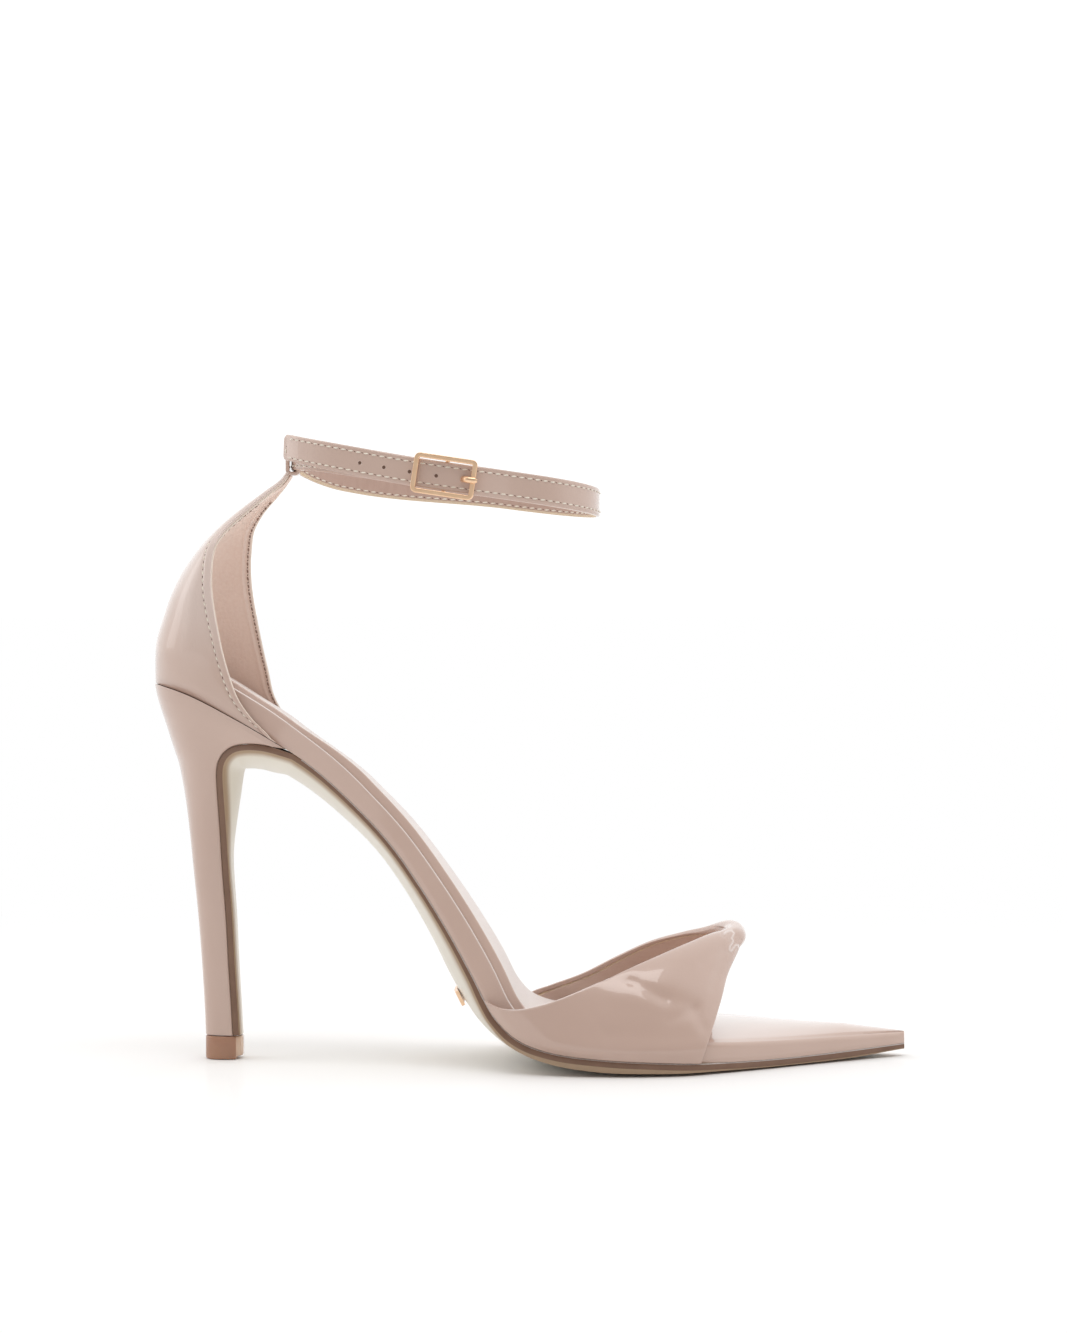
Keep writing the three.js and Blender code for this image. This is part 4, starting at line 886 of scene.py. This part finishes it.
def stitched(name, seams, pitch, thread_material, half_long):
    """Thread and needle holes along each (path, outward) pair; half_long is half a stitch. Thread and
    holes slant opposite ways."""
    threads, holes = [], []
    for path, out in seams:
        centre, along, up = along_path(path, out, pitch)
        slant = unit(along + 0.14 * np.cross(up, along))
        threads.append(grains(centre + up * 0.05, slant, up, (half_long, 0.22, 0.2)))
        # The needle holes are dark grains of painted shade
        centre, along, up = along_path(path, out, pitch, offset=pitch / 2)
        slant = unit(along - 0.35 * np.cross(up, along))
        holes.append(grains(centre - up * 0.02, slant, up, (0.3, 0.15, 0.08)))
    points, quads = join(threads)
    new_piece(name, points, face_outwards(points, quads), [thread_material])
    points, quads = join(holes)
    new_piece(name + "_holes", points, face_outwards(points, quads), [shadow])


def at_distance(shell, out, girth, distance, far_side):
    """The line on a sheet that keeps one distance from its edge."""
    share = np.clip(distance / girth, 0, 0.5)
    share = 1 - share if far_side else share
    spot = np.interp(share, column_share, np.arange(len(column_share)))
    low = np.floor(spot).astype(int)
    t = (spot - low)[:, None]
    row = np.arange(len(shell))
    high = np.minimum(low + 1, shell.shape[1] - 1)
    return mix(shell[row, low], shell[row, high], t), mix(out[row, low], out[row, high], t)


stitch_rows = slice(14, 182)  # the seams stop short of the base and of the top
outer_seams, inner_seams = [], []
for far_side in (False, True):
    path, out = at_distance(counter_shell, counter_out, counter_girth, stitch_inset, far_side)
    outer_seams.append(((path - out * 0.12)[stitch_rows], out[stitch_rows]))
    path, out = at_distance(counter_shell, counter_out, counter_girth, lining_inset, far_side)
    inner_seams.append(((path - out * wall)[stitch_rows], -out[stitch_rows]))
counter_pitch, counter_stitch = 2.3, 0.6  # spacing and half length
stitched("counter_stitches", outer_seams, counter_pitch, thread, counter_stitch)
stitched("counter_lining_stitches", inner_seams, counter_pitch, shaded_thread, counter_stitch)


# %% Loop for the strap
strap_width, strap_thick = 8.0, 1.8
ankle_length, ankle_breadth, ankle_height = 88.8, 55.0, 170.0
ankle_pitch, ankle_cant, ankle_egg = 0.15, 1.5, 0.15
loop_wall, loop_width, loop_depth, loop_sunk = 1.2, 8.0, 1.95, 0.9
ankle_x = counter_lean + loop_wall - loop_sunk + fit_gap + strap_thick / 2 + ankle_length / 2
loop_z = ankle_height + ankle_pitch * ankle_length / 2


def rounded_box(half_long, half_high, radius, count):
    """Closed outline: quarter rounds at the four corners, joined by straights of even steps."""
    corners = [(1, 1, 0), (-1, 1, 1), (-1, -1, 2), (1, -1, 3)]
    outline = []
    for sx, sy, quarter in corners:
        angle = np.linspace(0, np.pi / 2, 9) + quarter * np.pi / 2
        outline.append(np.stack([sx * (half_long - radius) + radius * np.cos(angle),
                                 sy * (half_high - radius) + radius * np.sin(angle)], -1))
    outline = np.concatenate(outline)
    outline = np.concatenate([outline, outline[:1]])
    at = np.concatenate([[0], np.cumsum(np.linalg.norm(np.diff(outline, axis=0), axis=1))])
    wanted = np.linspace(0, at[-1], count, endpoint=False)
    return np.stack([np.interp(wanted, at, outline[:, k]) for k in range(2)], -1)


def band_ring(outline, centre, across, up, side, half_wide, half_thick, radius):
    """A flat band bent round a closed outline: its section is a rounded box, thick outwards."""
    ahead = np.roll(outline, -1, 0) - np.roll(outline, 1, 0)
    outward = unit(np.stack([ahead[:, 1], -ahead[:, 0]], -1))
    section = rounded_box(half_thick, half_wide, radius, 40)
    place = outline[:, None, :] + outward[:, None, :] * section[None, :, :1]
    return centre + place[..., :1] * across + place[..., 1:] * up + section[None, :, 1:] * side


loop_centre = np.array([
    ankle_x - ankle_length / 2 - strap_thick / 2 - fit_gap + loop_depth / 2,
    seat_axis(counter_lean) * 0.17, loop_z])
loop_half_high = strap_width / 2 + 0.2 + loop_wall / 2
loop_line = rounded_box(loop_depth / 2 + loop_wall / 2, loop_half_high, 0.9, 90)
axis_x, axis_y, axis_z = np.eye(3)
loop_grid = band_ring(loop_line, loop_centre, axis_x, axis_z, axis_y, loop_width / 2, loop_wall / 2, 0.35)
grid_piece("counter_loop", loop_grid, [patent], ring=True, slot="patent", sharp=60)

# %% [markdown]
# ## Ankle strap
# The strap is one strip closed round the ankle. It starts at the buckle's bar, goes once round, runs
# through the frame and ends outside. Rows of stitches hold leather and lining together.

# %% Strap line
buckle_angle, free_end, free_flare, free_lift = 89.2, 75.5, 1.4, 2.7
near_sag, far_sag = 0.95, 2.4
worn_wide, worn_narrow = 0.3, 0.45  # wider at the buckle, narrower at the tip
strap_corner, tip_radius = 0.45, 1.5
tip_angle = buckle_angle + 360 + free_end
layer_rise = strap_thick + 2 * fit_gap


def free_share(degrees):
    """0 up to the buckle, then evenly up to 1 at the free tip."""
    return np.clip((degrees - buckle_angle - 360) / free_end, 0, 1)


def strap_sag(degrees):
    """Drop of the line: near_sag * sin^4 under the buckle, and a soft dip behind the loop."""
    turn = np.mod(degrees, 360)
    near = np.clip(np.sin(np.radians(turn)), 0, 1) ** 4
    return near_sag * near + far_sag * ease(turn, 186, 228) * (1 - ease(turn, 235, 295))


def strap_point(degrees):
    """Egg in plan, pitched to the toe and canted to the outer side, less the sag."""
    angle = np.radians(degrees)
    x = ankle_x + ankle_length / 2 * np.cos(angle)
    y = -ankle_breadth / 2 * np.sin(angle) * (1 + ankle_egg * np.cos(angle))
    z = ankle_height - ankle_pitch * (x - ankle_x) + ankle_cant * np.sin(angle)
    return np.stack([x, y, z + free_lift * free_share(degrees) ** 2 - strap_sag(degrees)], -1)


def strap_frame(degrees):
    """Point, direction, up and out of the strap; the second turn rises one layer."""
    degrees = np.atleast_1d(np.asarray(degrees, float))
    point = strap_point(degrees)
    along = unit(strap_point(degrees + 0.5) - strap_point(degrees - 0.5))
    up = unit(axis_z - along * along[:, 2:3])
    out = unit(np.cross(up, along))
    rising = ease(degrees, buckle_angle + 330, buckle_angle + 354)
    lifted = layer_rise * rising + free_flare * free_share(degrees) ** 2
    return point + out * lifted[:, None], along, up, out


def strap_grid():
    """A rounded box carried along the line. Half its height shrinks by r - (r^2 - (r - left)^2)^0.5
    over the last r mm, which rounds the tip."""
    near_tip = np.linspace(tip_angle - 2, tip_angle, 16)
    degrees = np.concatenate([np.linspace(buckle_angle + 2.6, near_tip[0], 520)[:-1], near_tip])
    point, along, up, out = strap_frame(degrees)
    left = np.minimum(np.radians(tip_angle - degrees) * ankle_length / 2, tip_radius)
    narrow = tip_radius - np.sqrt(np.maximum(tip_radius**2 - (tip_radius - left) ** 2, 0))
    section = np.roll(rounded_box(strap_width / 2, strap_thick / 2, strap_corner, 56), 7, axis=0)
    trimmed = (worn_wide + worn_narrow) * ease(free_share(degrees), 0.2, 1)
    worn = worn_wide * ease(degrees, 330, 390) - trimmed
    high = section[None, :, 0] * (1 + (worn / 2 - narrow) / (strap_width / 2))[:, None]
    return point[:, None] + up[:, None] * high[..., None] + out[:, None] * section[None, :, 1:], section


# The inner face is lining. Its raw edge shows along the borders and over the inner half of the sides.
strap_surface, strap_section = strap_grid()
middle_column = (strap_section[:, 1] + np.roll(strap_section[:, 1], -1)) / 2
near_edge = np.abs(strap_section[:, 0]) > strap_width / 2 - 0.65
strap_pick = np.where((middle_column < -0.62) & ~near_edge, 1, np.where(middle_column < -0.1, 2, 0))
grid_piece("ankle_strap_strip", strap_surface, [patent, kid, lining_edge], pick=strap_pick,
           stands_for=("ankle_strap",), slot="patent", sharp=60)


# %% Strap stitches
def strap_seam(first, last, high, face):
    """A line at one height on the outer (1) or inner (-1) face."""
    degrees = np.linspace(first, last, int((last - first) * 3))
    point, along, up, out = strap_frame(degrees)
    return point + up * high + out * face * strap_thick / 2, out * face


strap_inset, tip_inset = 1.25, 2.1  # rows behind the strap's borders and its tip
strap_pitch, strap_stitch = 2.45, 0.74  # spacing and half length
row_high = strap_width / 2 - strap_inset
tip_row = tip_angle - np.degrees(tip_inset / (ankle_length / 2))
strap_seams = []
for high in (-row_high, row_high):
    for face in (1, -1):
        strap_seams.append(strap_seam(buckle_angle + 4, tip_row - 1.0, high, face))
point, along, up, out = strap_frame(tip_row)
cross = np.linspace(-row_high + 0.6, row_high - 0.6, 12)[:, None]
strap_seams.append((point + up * cross + out * (strap_thick / 2), np.repeat(out, 12, 0)))
stitched("strap_stitches", strap_seams, strap_pitch, thread, strap_stitch)

# %% [markdown]
# ## Buckle
# A cast frame, bent bar and prong, plated rose gold. Its edges are rounded, and that is where the
# light catches.

# %% Buckle frame, bar and prong
buckle_length, buckle_width, buckle_bar, bar_radius = 18.3, 11.6, 1.4, 0.65
prong_place, prong_radius, prong_flat = 5.2, 0.65, 1.4
frame_back = layer_rise + strap_thick / 2 + fit_gap
seat_point = strap_point(buckle_angle + 360)
_, seat_along, seat_up, seat_out = (value[0] for value in strap_frame(buckle_angle + 360))
seat_forward = -seat_along


def on_strap(points):
    """Buckle's own forward, up and out directions to the drawing."""
    forward, up, out = np.moveaxis(points, -1, 0)[..., None]
    return seat_point + forward * seat_forward + up * seat_up + out * seat_out


def tube(route, radius, sides=16):
    """Oval section, prong_flat wider than high, carried along a line in the buckle's x-z plane."""
    along = unit(np.gradient(route, axis=0))
    lift = np.stack([-along[:, 2], 0 * along[:, 0], along[:, 0]], -1)
    angle = 2 * np.pi * (np.arange(sides) + 0.5) / sides
    radius = np.broadcast_to(radius, len(route))[:, None, None]
    return (route[:, None] + lift[:, None] * radius * np.cos(angle)[None, :, None]
            + axis_y * radius * prong_flat * np.sin(angle)[None, :, None])


half_bar = buckle_bar / 2
frame_half_wide = buckle_width / 2 - half_bar
frame_line = rounded_box(buckle_length / 2 - half_bar, frame_half_wide, 1.0, 200)
frame_grid = band_ring(frame_line, axis_z * (frame_back + half_bar), axis_x, axis_y, axis_z,
                       half_bar, half_bar, 0.22)
grid_piece("buckle_frame_cast", on_strap(frame_grid), [gold], ring=True, stands_for=("buckle_frame",),
           slot="metal", sharp=70)

bar_y = np.concatenate([[-5.2], np.linspace(-5.1, 5.1, 12), [5.2]])
angle = 2 * np.pi * (np.arange(20) + 0.5) / 20
bar_taper = np.array([0.8] + [1.0] * 12 + [0.8])[:, None] * bar_radius
bar_grid = np.stack(np.broadcast_arrays(bar_taper * np.cos(angle), bar_y[:, None],
                                        bar_taper * np.sin(angle)), -1)
grid_piece("buckle_bar", on_strap(bar_grid), [gold], slot="metal", sharp=50)

post_x, post_y = rounded_box(0.62, 0.5, 0.25, 20).T
post_z = np.linspace(-bar_radius, frame_back + buckle_bar * 0.4, 8)[:, None]
for name, side in (("buckle_post_low", -1), ("buckle_post_high", 1)):
    post_grid = np.stack(np.broadcast_arrays(post_x, post_y + side * frame_half_wide, post_z), -1)
    grid_piece(name, on_strap(post_grid), [gold], slot="metal", sharp=50)

over_bar = frame_back + buckle_bar + prong_radius + fit_gap * 0.3
prong_knots = np.array([
    [bar_radius + fit_gap + prong_radius * 0.6, 0, 0],
    [prong_place * 0.75, 0, 0.1],
    [prong_place * 0.97, 0, layer_rise * 0.45],
    [prong_place, 0, layer_rise],
    [prong_place * 1.05, 0, layer_rise * 1.5],
    [prong_place * 1.25, 0, over_bar - 0.6],
    [buckle_length / 2 - 0.6, 0, over_bar],
    [buckle_length / 2 + 0.6, 0, over_bar - 0.1],
])
prong_route = smooth_rows(prong_knots[:, None, :], 60)[:, 0]
prong_taper = prong_radius * (1 - 0.45 * ease(np.linspace(0, 1, 60), 0.93, 1.0))
grid_piece("buckle_prong_pin", on_strap(tube(prong_route, prong_taper)), [gold],
           stands_for=("buckle_prong",), slot="metal", sharp=60)


# %% Punched holes
def punched(name, spots):
    """A leather lip and a dark well for each hole of 1.5 mm, on the strap's outer side."""
    lips, wells = [], []
    angle = 2 * np.pi * np.arange(20)[:, None] / 20
    profile = np.array([[0.42, -0.3], [0.52, 0.0], [0.64, 0.06], [0.8, 0.0], [0.8, -0.2]])
    quads = round_quads(len(profile), len(angle), ring=True)
    for degrees, high in spots:
        point, along, up, out = (value[0] for value in strap_frame(degrees))
        base = point + up * high + out * (strap_thick / 2)
        spoke = np.cos(angle) * along + np.sin(angle) * up
        grid = base + profile[:, :1, None] * spoke + profile[:, 1:, None] * out
        lips.append((grid.reshape(-1, 3), quads))
        # The well is a dark disc of painted shade, not a cut hole
        wells.append(grains((base + out * 0.005)[None], along[None], out[None], (0.52, 0.52, 0.02)))
    points, quads = join(lips)
    new_piece(name + "_lips", points, face_outwards(points, quads), [patent], slot="patent")
    points, quads = join(wells)
    new_piece(name + "_wells", points, face_outwards(points, quads), [shadow], slot="patent")


hole_step = np.degrees(7.4 / (ankle_length / 2))  # 7.4 mm apart
first_hole = buckle_angle + 360 - np.degrees(prong_place / (ankle_length / 2))
punched("strap_holes", [(first_hole + k * hole_step, -0.2) for k in (1, 2, 3, 4)])

# %% [markdown]
# ## Vamp
# One band from base to base, gathered and turned over at the knot. Both faces come from the same
# middle surface: across * width + outward * (crown + half the wall), turned by the twist.

# %% Vamp band
vamp_height, knot_thick = 40.4, 5.3
vamp_rows = table("x rx ry rz fx fy fz crown cling wall twist", [
    (0, 0.44, 0, 0, 0.7195, 0, 0, 0, 1, 0, 0),
    (1, 0.465, -0.498, 0.465, 0.7255, -0.53, 0.19, 0.6, 0.8, 0, 0),
    (2, 0.497, -0.532, 0.478, 0.7315, -0.503, 0.275, 1.2, 0.52, 0, 0),
    (3, 0.54, -0.532, 0.547, 0.7385, -0.455, 0.375, 2.0, 0.26, 0, 0),
    (4, 0.6, -0.48, 0.677, 0.7485, -0.37, 0.52, 2.6, 0.08, 0, 0),
    (5, 0.655, -0.385, 0.79, 0.757, -0.27, 0.65, 2.4, 0, 0.04, 0),
    (6, 0.706, -0.255, 0.882, 0.7695, -0.17, 0.765, 1.6, 0, 0.18, 0),
    (7, 0.738, -0.14, 0.927, 0.778, -0.095, 0.835, 0.6, 0, 0.6, 4),
    (8, 0.753, -0.06, 0.94, 0.782, -0.05, 0.85, 0, 0, 1, 40),
    (9, 0.756, 0.0, 0.95, 0.782, 0.0, 0.855, 0, 0, 1, 90),
    (10, 0.752, 0.05, 0.946, 0.78, 0.055, 0.85, 0, 0, 1, 140),
    (11, 0.735, 0.125, 0.915, 0.774, 0.1, 0.835, 0.6, 0, 0.6, 176),
    (12, 0.705, 0.215, 0.868, 0.764, 0.17, 0.765, 1.4, 0, 0.18, 180),
    (13, 0.662, 0.315, 0.785, 0.756, 0.25, 0.64, 2.0, 0, 0.04, 180),
    (14, 0.617, 0.385, 0.66, 0.75, 0.33, 0.5, 2.2, 0.08, 0, 180),
    (15, 0.572, 0.42, 0.53, 0.745, 0.395, 0.36, 1.6, 0.26, 0, 180),
    (16, 0.528, 0.41, 0.445, 0.74, 0.432, 0.265, 1.0, 0.52, 0, 180),
    (17, 0.498, 0.385, 0.385, 0.7365, 0.452, 0.185, 0.5, 0.8, 0, 180),
    (18, 0.478, 0, 0, 0.733, 0, 0, 0, 1, 0, 180),
])
last_row = 18
knot_rows = (7, 11)  # the band turns over between these


def vamp_base(side, share):
    """The base line on the footbed's side, between the rear and the front edge."""
    row = 0 if side < 0 else last_row
    x = shoe_length * mix(vamp_rows["rx"][row], vamp_rows["fx"][row], share)
    return on_seam(x, side * edge_at(x, side, fit_gap + wall / 2), 0.1)


for side, row in ((-1, 0), (1, last_row)):
    ends = vamp_base(side, np.array([0.0, 1.0]))
    vamp_rows["ry"][row], vamp_rows["fy"][row] = ends[:, 1] / ball_width
    vamp_rows["rz"][row], vamp_rows["fz"][row] = ends[:, 2] / vamp_height


def vamp_edge(place, end):
    size = (shoe_length, ball_width, vamp_height)
    return np.stack([read(vamp_rows, end + axis, place) * scale for axis, scale in zip("xyz", size)], -1)


hem = 2.1  # folded edge over the lining

# Troughs pressed into the outer band, seen from the outer side: ends, half width and depth
troughs = table("x0 z0 x1 z1 wide deep", [
    (131.0, 27.6, 140.0, 26.6, 1.5, 0.2),
    (139.0, 26.8, 149.0, 21.9, 1.7, 0.34),
    (148.0, 22.2, 158.0, 19.6, 2.2, 0.22),
    (133.0, 23.0, 146.0, 19.5, 2.6, -0.22),
    (127.5, 18.0, 132.0, 12.0, 2.4, 0.2),
    (132.0, 12.0, 152.0, 11.8, 2.8, 0.16),
    (150.0, 16.0, 157.0, 18.4, 1.8, 0.24),
    (157.0, 18.4, 160.0, 13.5, 1.8, 0.2),
    (118.0, 17.5, 126.0, 13.0, 3.0, 0.15),
    (160.0, 31.0, 166.0, 34.5, 1.6, 0.2),
    (163.0, 24.0, 167.0, 33.0, 1.5, 0.2),
])


def line_distance(points, start, end):
    """Distance in side view to the straight line between two places."""
    from_start, run = points[..., [0, 2]] - start, end - start
    share = np.clip((from_start @ run) / (run @ run), 0, 1)
    return np.linalg.norm(from_start - share[..., None] * run, axis=-1)


def trough_relief(points):
    """Minus the sum of deep * exp(-(distance to the line / wide)^2) over the troughs."""
    relief = np.zeros(points.shape[:-1])
    for x0, z0, x1, z1, wide, deep in zip(*troughs.values()):
        distance = line_distance(points, np.array([x0, z0]), np.array([x1, z1]))
        relief -= deep * np.exp(-(distance / wide) ** 2)
    return relief * ease(-points[..., 1], 2, 8)


# Edge of the second strand over the knot, as it puckers under the glue
pucker_line = np.array([
    (166.9, 37.6), (167.9, 38.1), (169.2, 38.2), (169.9, 37.5), (169.6, 36.9), (169.1, 36.3), (169.5, 35.6),
    (169.2, 35.0), (168.5, 34.2), (168.4, 33.3), (168.9, 32.9), (169.6, 33.8), (170.3, 34.3), (171.0, 34.1),
    (171.3, 33.0), (170.9, 31.9), (170.5, 31.3),
])


def knot_relief(points, normals):
    """The second strand is 0.35 mm proud past its edge, and the edge itself is a thin puckered ridge:
    0.3 * exp(-(d/0.35)^2) - 0.25 * exp(-(d/0.8)^2), d the distance to the listed line.
    A highlight is painted pale on the ridge and a little on the strand."""
    x, y, z = np.moveaxis(points, -1, 0)
    pieces = [line_distance(points, start, end) for start, end in zip(pucker_line[:-1], pucker_line[1:])]
    distance = np.min(pieces, axis=0)
    shown = ease(-normals[..., 1], 0.0, 0.35) * ease(-y, -2, 1)
    ridge = 0.3 * np.exp(-(distance / 0.35) ** 2) - 0.25 * np.exp(-(distance / 0.8) ** 2)
    past = np.maximum(x - 169.5, z - 38.0)
    strand = ease(past, -0.15, 0.35) * ease(z, 31, 34) * ease(y, -9, -5) * (1 - ease(y, 3, 9))
    pale = 0.5 * np.exp(-(distance / 0.26) ** 2) * shown + 0.3 * strand
    return ridge * shown + 0.35 * strand, pale


def vamp_grid(rows=400, half_columns=96):
    """The band's grid, the material of each face, and where a highlight is painted. A section is
    width / 2 * cos by thickness / 2 * sin^p, p from 0.3 (flat) to 0.9 (round), turned by the twist."""
    place = np.linspace(0, last_row, rows)
    rear, front = vamp_edge(place, "r"), vamp_edge(place, "f")
    width = np.linalg.norm(front - rear, axis=1, keepdims=True)
    across = (front - rear) / width
    centre = (rear + front) / 2
    near = lambda shift: sum(vamp_edge(np.clip(place + shift, 0, last_row), end) for end in "rf") / 2
    along = near(0.3) - near(-0.3)
    side = np.where(place < last_row / 2, -1.0, 1.0)
    cling = np.maximum(read(vamp_rows, "cling", place), 0)[:, None]
    outward = unit(np.cross(across, along))
    outward = unit(mix(outward, side[:, None] * axis_y, cling))
    gather = read(vamp_rows, "wall", place)
    thick = mix(wall, knot_thick, gather)[:, None]
    twist = np.radians(read(vamp_rows, "twist", place))[:, None]
    crown = read(vamp_rows, "crown", place)[:, None]
    angle = np.linspace(0.02, np.pi - 0.02, half_columns)[None, :]
    full = np.sin(angle) ** mix(0.3, 0.9, np.clip(gather, 0, 1))[:, None]
    faces, from_edge = [], []
    for sign in (1, -1):
        a = -0.5 * np.cos(angle) * width
        b = sign * 0.5 * thick * full
        wide = a * np.cos(twist) - b * np.sin(twist)
        deep = a * np.sin(twist) + b * np.cos(twist)
        share = np.clip(0.5 + wide / width, 0, 1)
        rise = crown * 4 * share * (1 - share) + deep
        point = centre[:, None] + across[:, None] * wide[..., None] + outward[:, None] * rise[..., None]
        for s in (-1, 1):
            ends = vamp_base(s, np.array([0.0, 1.0]))
            straight = mix(ends[0], ends[1], share[..., None])
            sag = vamp_base(s, share) - straight
            point = point + sag * cling[:, None] * (side == s)[:, None, None]
        faces.append(point)
        from_edge.append(np.minimum(share, 1 - share) * width)
    grid = np.concatenate([faces[0], faces[1][:, ::-1]], 1)
    from_edge = np.concatenate([from_edge[0], from_edge[1][:, ::-1]], 1)
    normal = surface_normals(grid)
    away = np.einsum("rck,rck->rc", normal, grid - grid.mean(1, keepdims=True)).mean()
    normal = normal * np.sign(away)
    first = (np.arange(2 * half_columns) < half_columns)[None, :]
    before, after = place[:, None] < knot_rows[0], place[:, None] > knot_rows[1]
    inside = np.where(before, ~first, np.where(after, first, False))
    groove = 0.5 * np.exp(-((from_edge - hem) / 0.24) ** 2)
    under_hem = -groove - 0.12 * ease(from_edge, hem + 0.3, hem + 0.7)
    knot, pale = knot_relief(grid, normal)
    relief = np.where(inside, under_hem, trough_relief(grid)) + knot
    pick = inside * (1 + (from_edge < hem + 0.5)) * (from_edge > hem)
    # Painted highlight: a pale line along the near band's rear edge, the throat, where its round catches
    # the softbox
    rear_edge = np.linalg.norm(grid - rear[:, None], axis=-1)
    shown = ease(place, 0.6, 1.5) * (1 - ease(place, 8, 8.6))
    throat_highlight = 0.85 * np.exp(-(rear_edge / 0.5) ** 2) * shown[:, None]
    return grid + normal * relief[..., None], pick, np.maximum(pale, throat_highlight)


vamp_surface, vamp_pick, vamp_highlight = vamp_grid()
grid_piece("vamp_band", vamp_surface, [vamp_patent, vamp_kid_lit, lining_edge], pick=vamp_pick[:-1],
           stands_for=("vamp",), slot="patent", sharp=70, stain=vamp_highlight)

# %% [markdown]
# ## Plate under the waist
# The small blank plate is a thin brushed sheet. The CAD solid has its real shape, so it stays and
# only gets its metal.

# %% Plate
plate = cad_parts["sole_plate"]
plate.data.materials.clear()
plate.data.materials.append(gold)

# %% [markdown]
# ## Studio
# The shoe stands on a white table in a white tent. Patent leather shows whatever stands round it, so
# the tent is left open to the dark room on the camera's side: without that dark part the film would
# mirror white everywhere and look like matt plastic. One softbox hangs above.

# %% Floor
# Round table top, lit by the softbox near the shoe. Far away it glows by itself, as a floor with its
# own lamps does, so no horizon shows.
spokes = 96
floor_radius = np.array([0.0001, 0.3, 0.8, 1.5, 3.0, 9.0])[:, None]
turn = 2 * np.pi * np.arange(spokes)[None, :] / spokes
floor_points = np.stack(np.broadcast_arrays(
    floor_radius * np.cos(turn), floor_radius * np.sin(turn), -0.0001), -1)
index = np.arange(len(floor_radius) * spokes).reshape(-1, spokes)
here, there = index[:-1], index[1:]
floor_quads = np.stack([here, there, np.roll(there, -1, 1), np.roll(here, -1, 1)], -1).reshape(-1, 4)
floor_mesh = bpy.data.meshes.new("floor")
floor_mesh.from_pydata(floor_points.reshape(-1, 3), [], floor_quads.tolist())
floor = bpy.data.objects.new("floor", floor_mesh)
bpy.context.scene.collection.objects.link(floor)

floor_paint = finish("white table top", "#FAF9F8", "#F7F6F5", 60.0, 2.0, 0.0, Roughness=0.9, IOR=1.3,
                     Specular_IOR_Level=0.0)
tree = floor_paint.node_tree
shader = tree.nodes["Principled BSDF"]
polish = add_node(tree, "ShaderNodeBsdfGlossy", Roughness=0.12, Color=(1, 1, 1, 1))
glow = add_node(tree, "ShaderNodeEmission", Color=(1, 1, 1, 1), Strength=1.0)
place = add_node(tree, "ShaderNodeTexCoord")
reach = add_node(tree, "ShaderNodeVectorMath", [(place.outputs["Object"], 0)], operation="LENGTH")
fade = add_node(tree, "ShaderNodeMapRange", [(reach.outputs["Value"], "Value")],
                interpolation_type="SMOOTHSTEP", From_Min=0.16, From_Max=0.5)
sheen = add_node(tree, "ShaderNodeMixShader", [(shader.outputs[0], 1), (polish.outputs[0], 2)])
sheen.inputs[0].default_value = 0.05
blend = add_node(tree, "ShaderNodeMixShader",
                 [(fade.outputs["Result"], 0), (sheen.outputs[0], 1), (glow.outputs[0], 2)])
tree.links.new(blend.outputs[0], tree.nodes["Material Output"].inputs["Surface"])
floor_mesh.materials.append(floor_paint)

# %% Tent with one dark side
world = bpy.data.worlds.new("studio")
world.use_nodes = True
tree = world.node_tree
sky = add_node(tree, "ShaderNodeTexCoord")
parts = add_node(tree, "ShaderNodeSeparateXYZ", [(sky.outputs["Generated"], "Vector")])
dark_side = add_node(tree, "ShaderNodeMapRange", [(parts.outputs["Y"], "Value")],
                     interpolation_type="SMOOTHSTEP",
                     From_Min=-0.15, From_Max=-0.55, To_Min=1.12, To_Max=0.42)
tree.links.new(dark_side.outputs["Result"], tree.nodes["Background"].inputs["Strength"])
tree.nodes["Background"].inputs["Color"].default_value = (1, 1, 1, 1)
bpy.context.scene.world = world


# %% Softboxes
def soft_light(name, place, target, size, power):
    """An area light that looks at its target."""
    data = bpy.data.lights.new(name, "AREA")
    data.shape = "RECTANGLE"
    data.size, data.size_y = size
    data.energy = power
    light = bpy.data.objects.new(name, data)
    light.location = place
    light.rotation_euler = (Vector(target) - Vector(place)).to_track_quat("-Z", "Y").to_euler()
    bpy.context.scene.collection.objects.link(light)


soft_light("overhead", (0.05, -0.4, 1.2), (0.02, 0, 0.05), (1.0, 0.55), 4.2)
soft_light("left window", (-1.2, 0.25, 0.6), (0, 0, 0.08), (0.5, 0.9), 1.2)

# %% Camera
# The eye is level with row eye_row of the photo and stands abreast of eye_x in the drawing
eye_height, eye_distance, eye_x, eye_row = 0.146, 1.1, 111.3, 562.0
lens_pixels, photo_rows = 3741.0, 1333.0
camera_data = bpy.data.cameras.new("camera")
camera_data.sensor_fit = "VERTICAL"
camera_data.sensor_height = 36.0
camera_data.lens = 36.0 * lens_pixels / photo_rows
camera = bpy.data.objects.new("camera", camera_data)
camera.location = ((eye_x - middle[0]) / 1000, -eye_distance - middle[1] / 1000, eye_height)
camera.rotation_euler = (np.pi / 2 - np.arctan((photo_rows / 2 - eye_row) / lens_pixels), 0, 0)
bpy.context.scene.collection.objects.link(camera)
bpy.context.scene.camera = camera
bpy.context.scene.view_settings.view_transform = "Standard"
print("Camera at", tuple(camera.location), "lens", camera_data.lens)
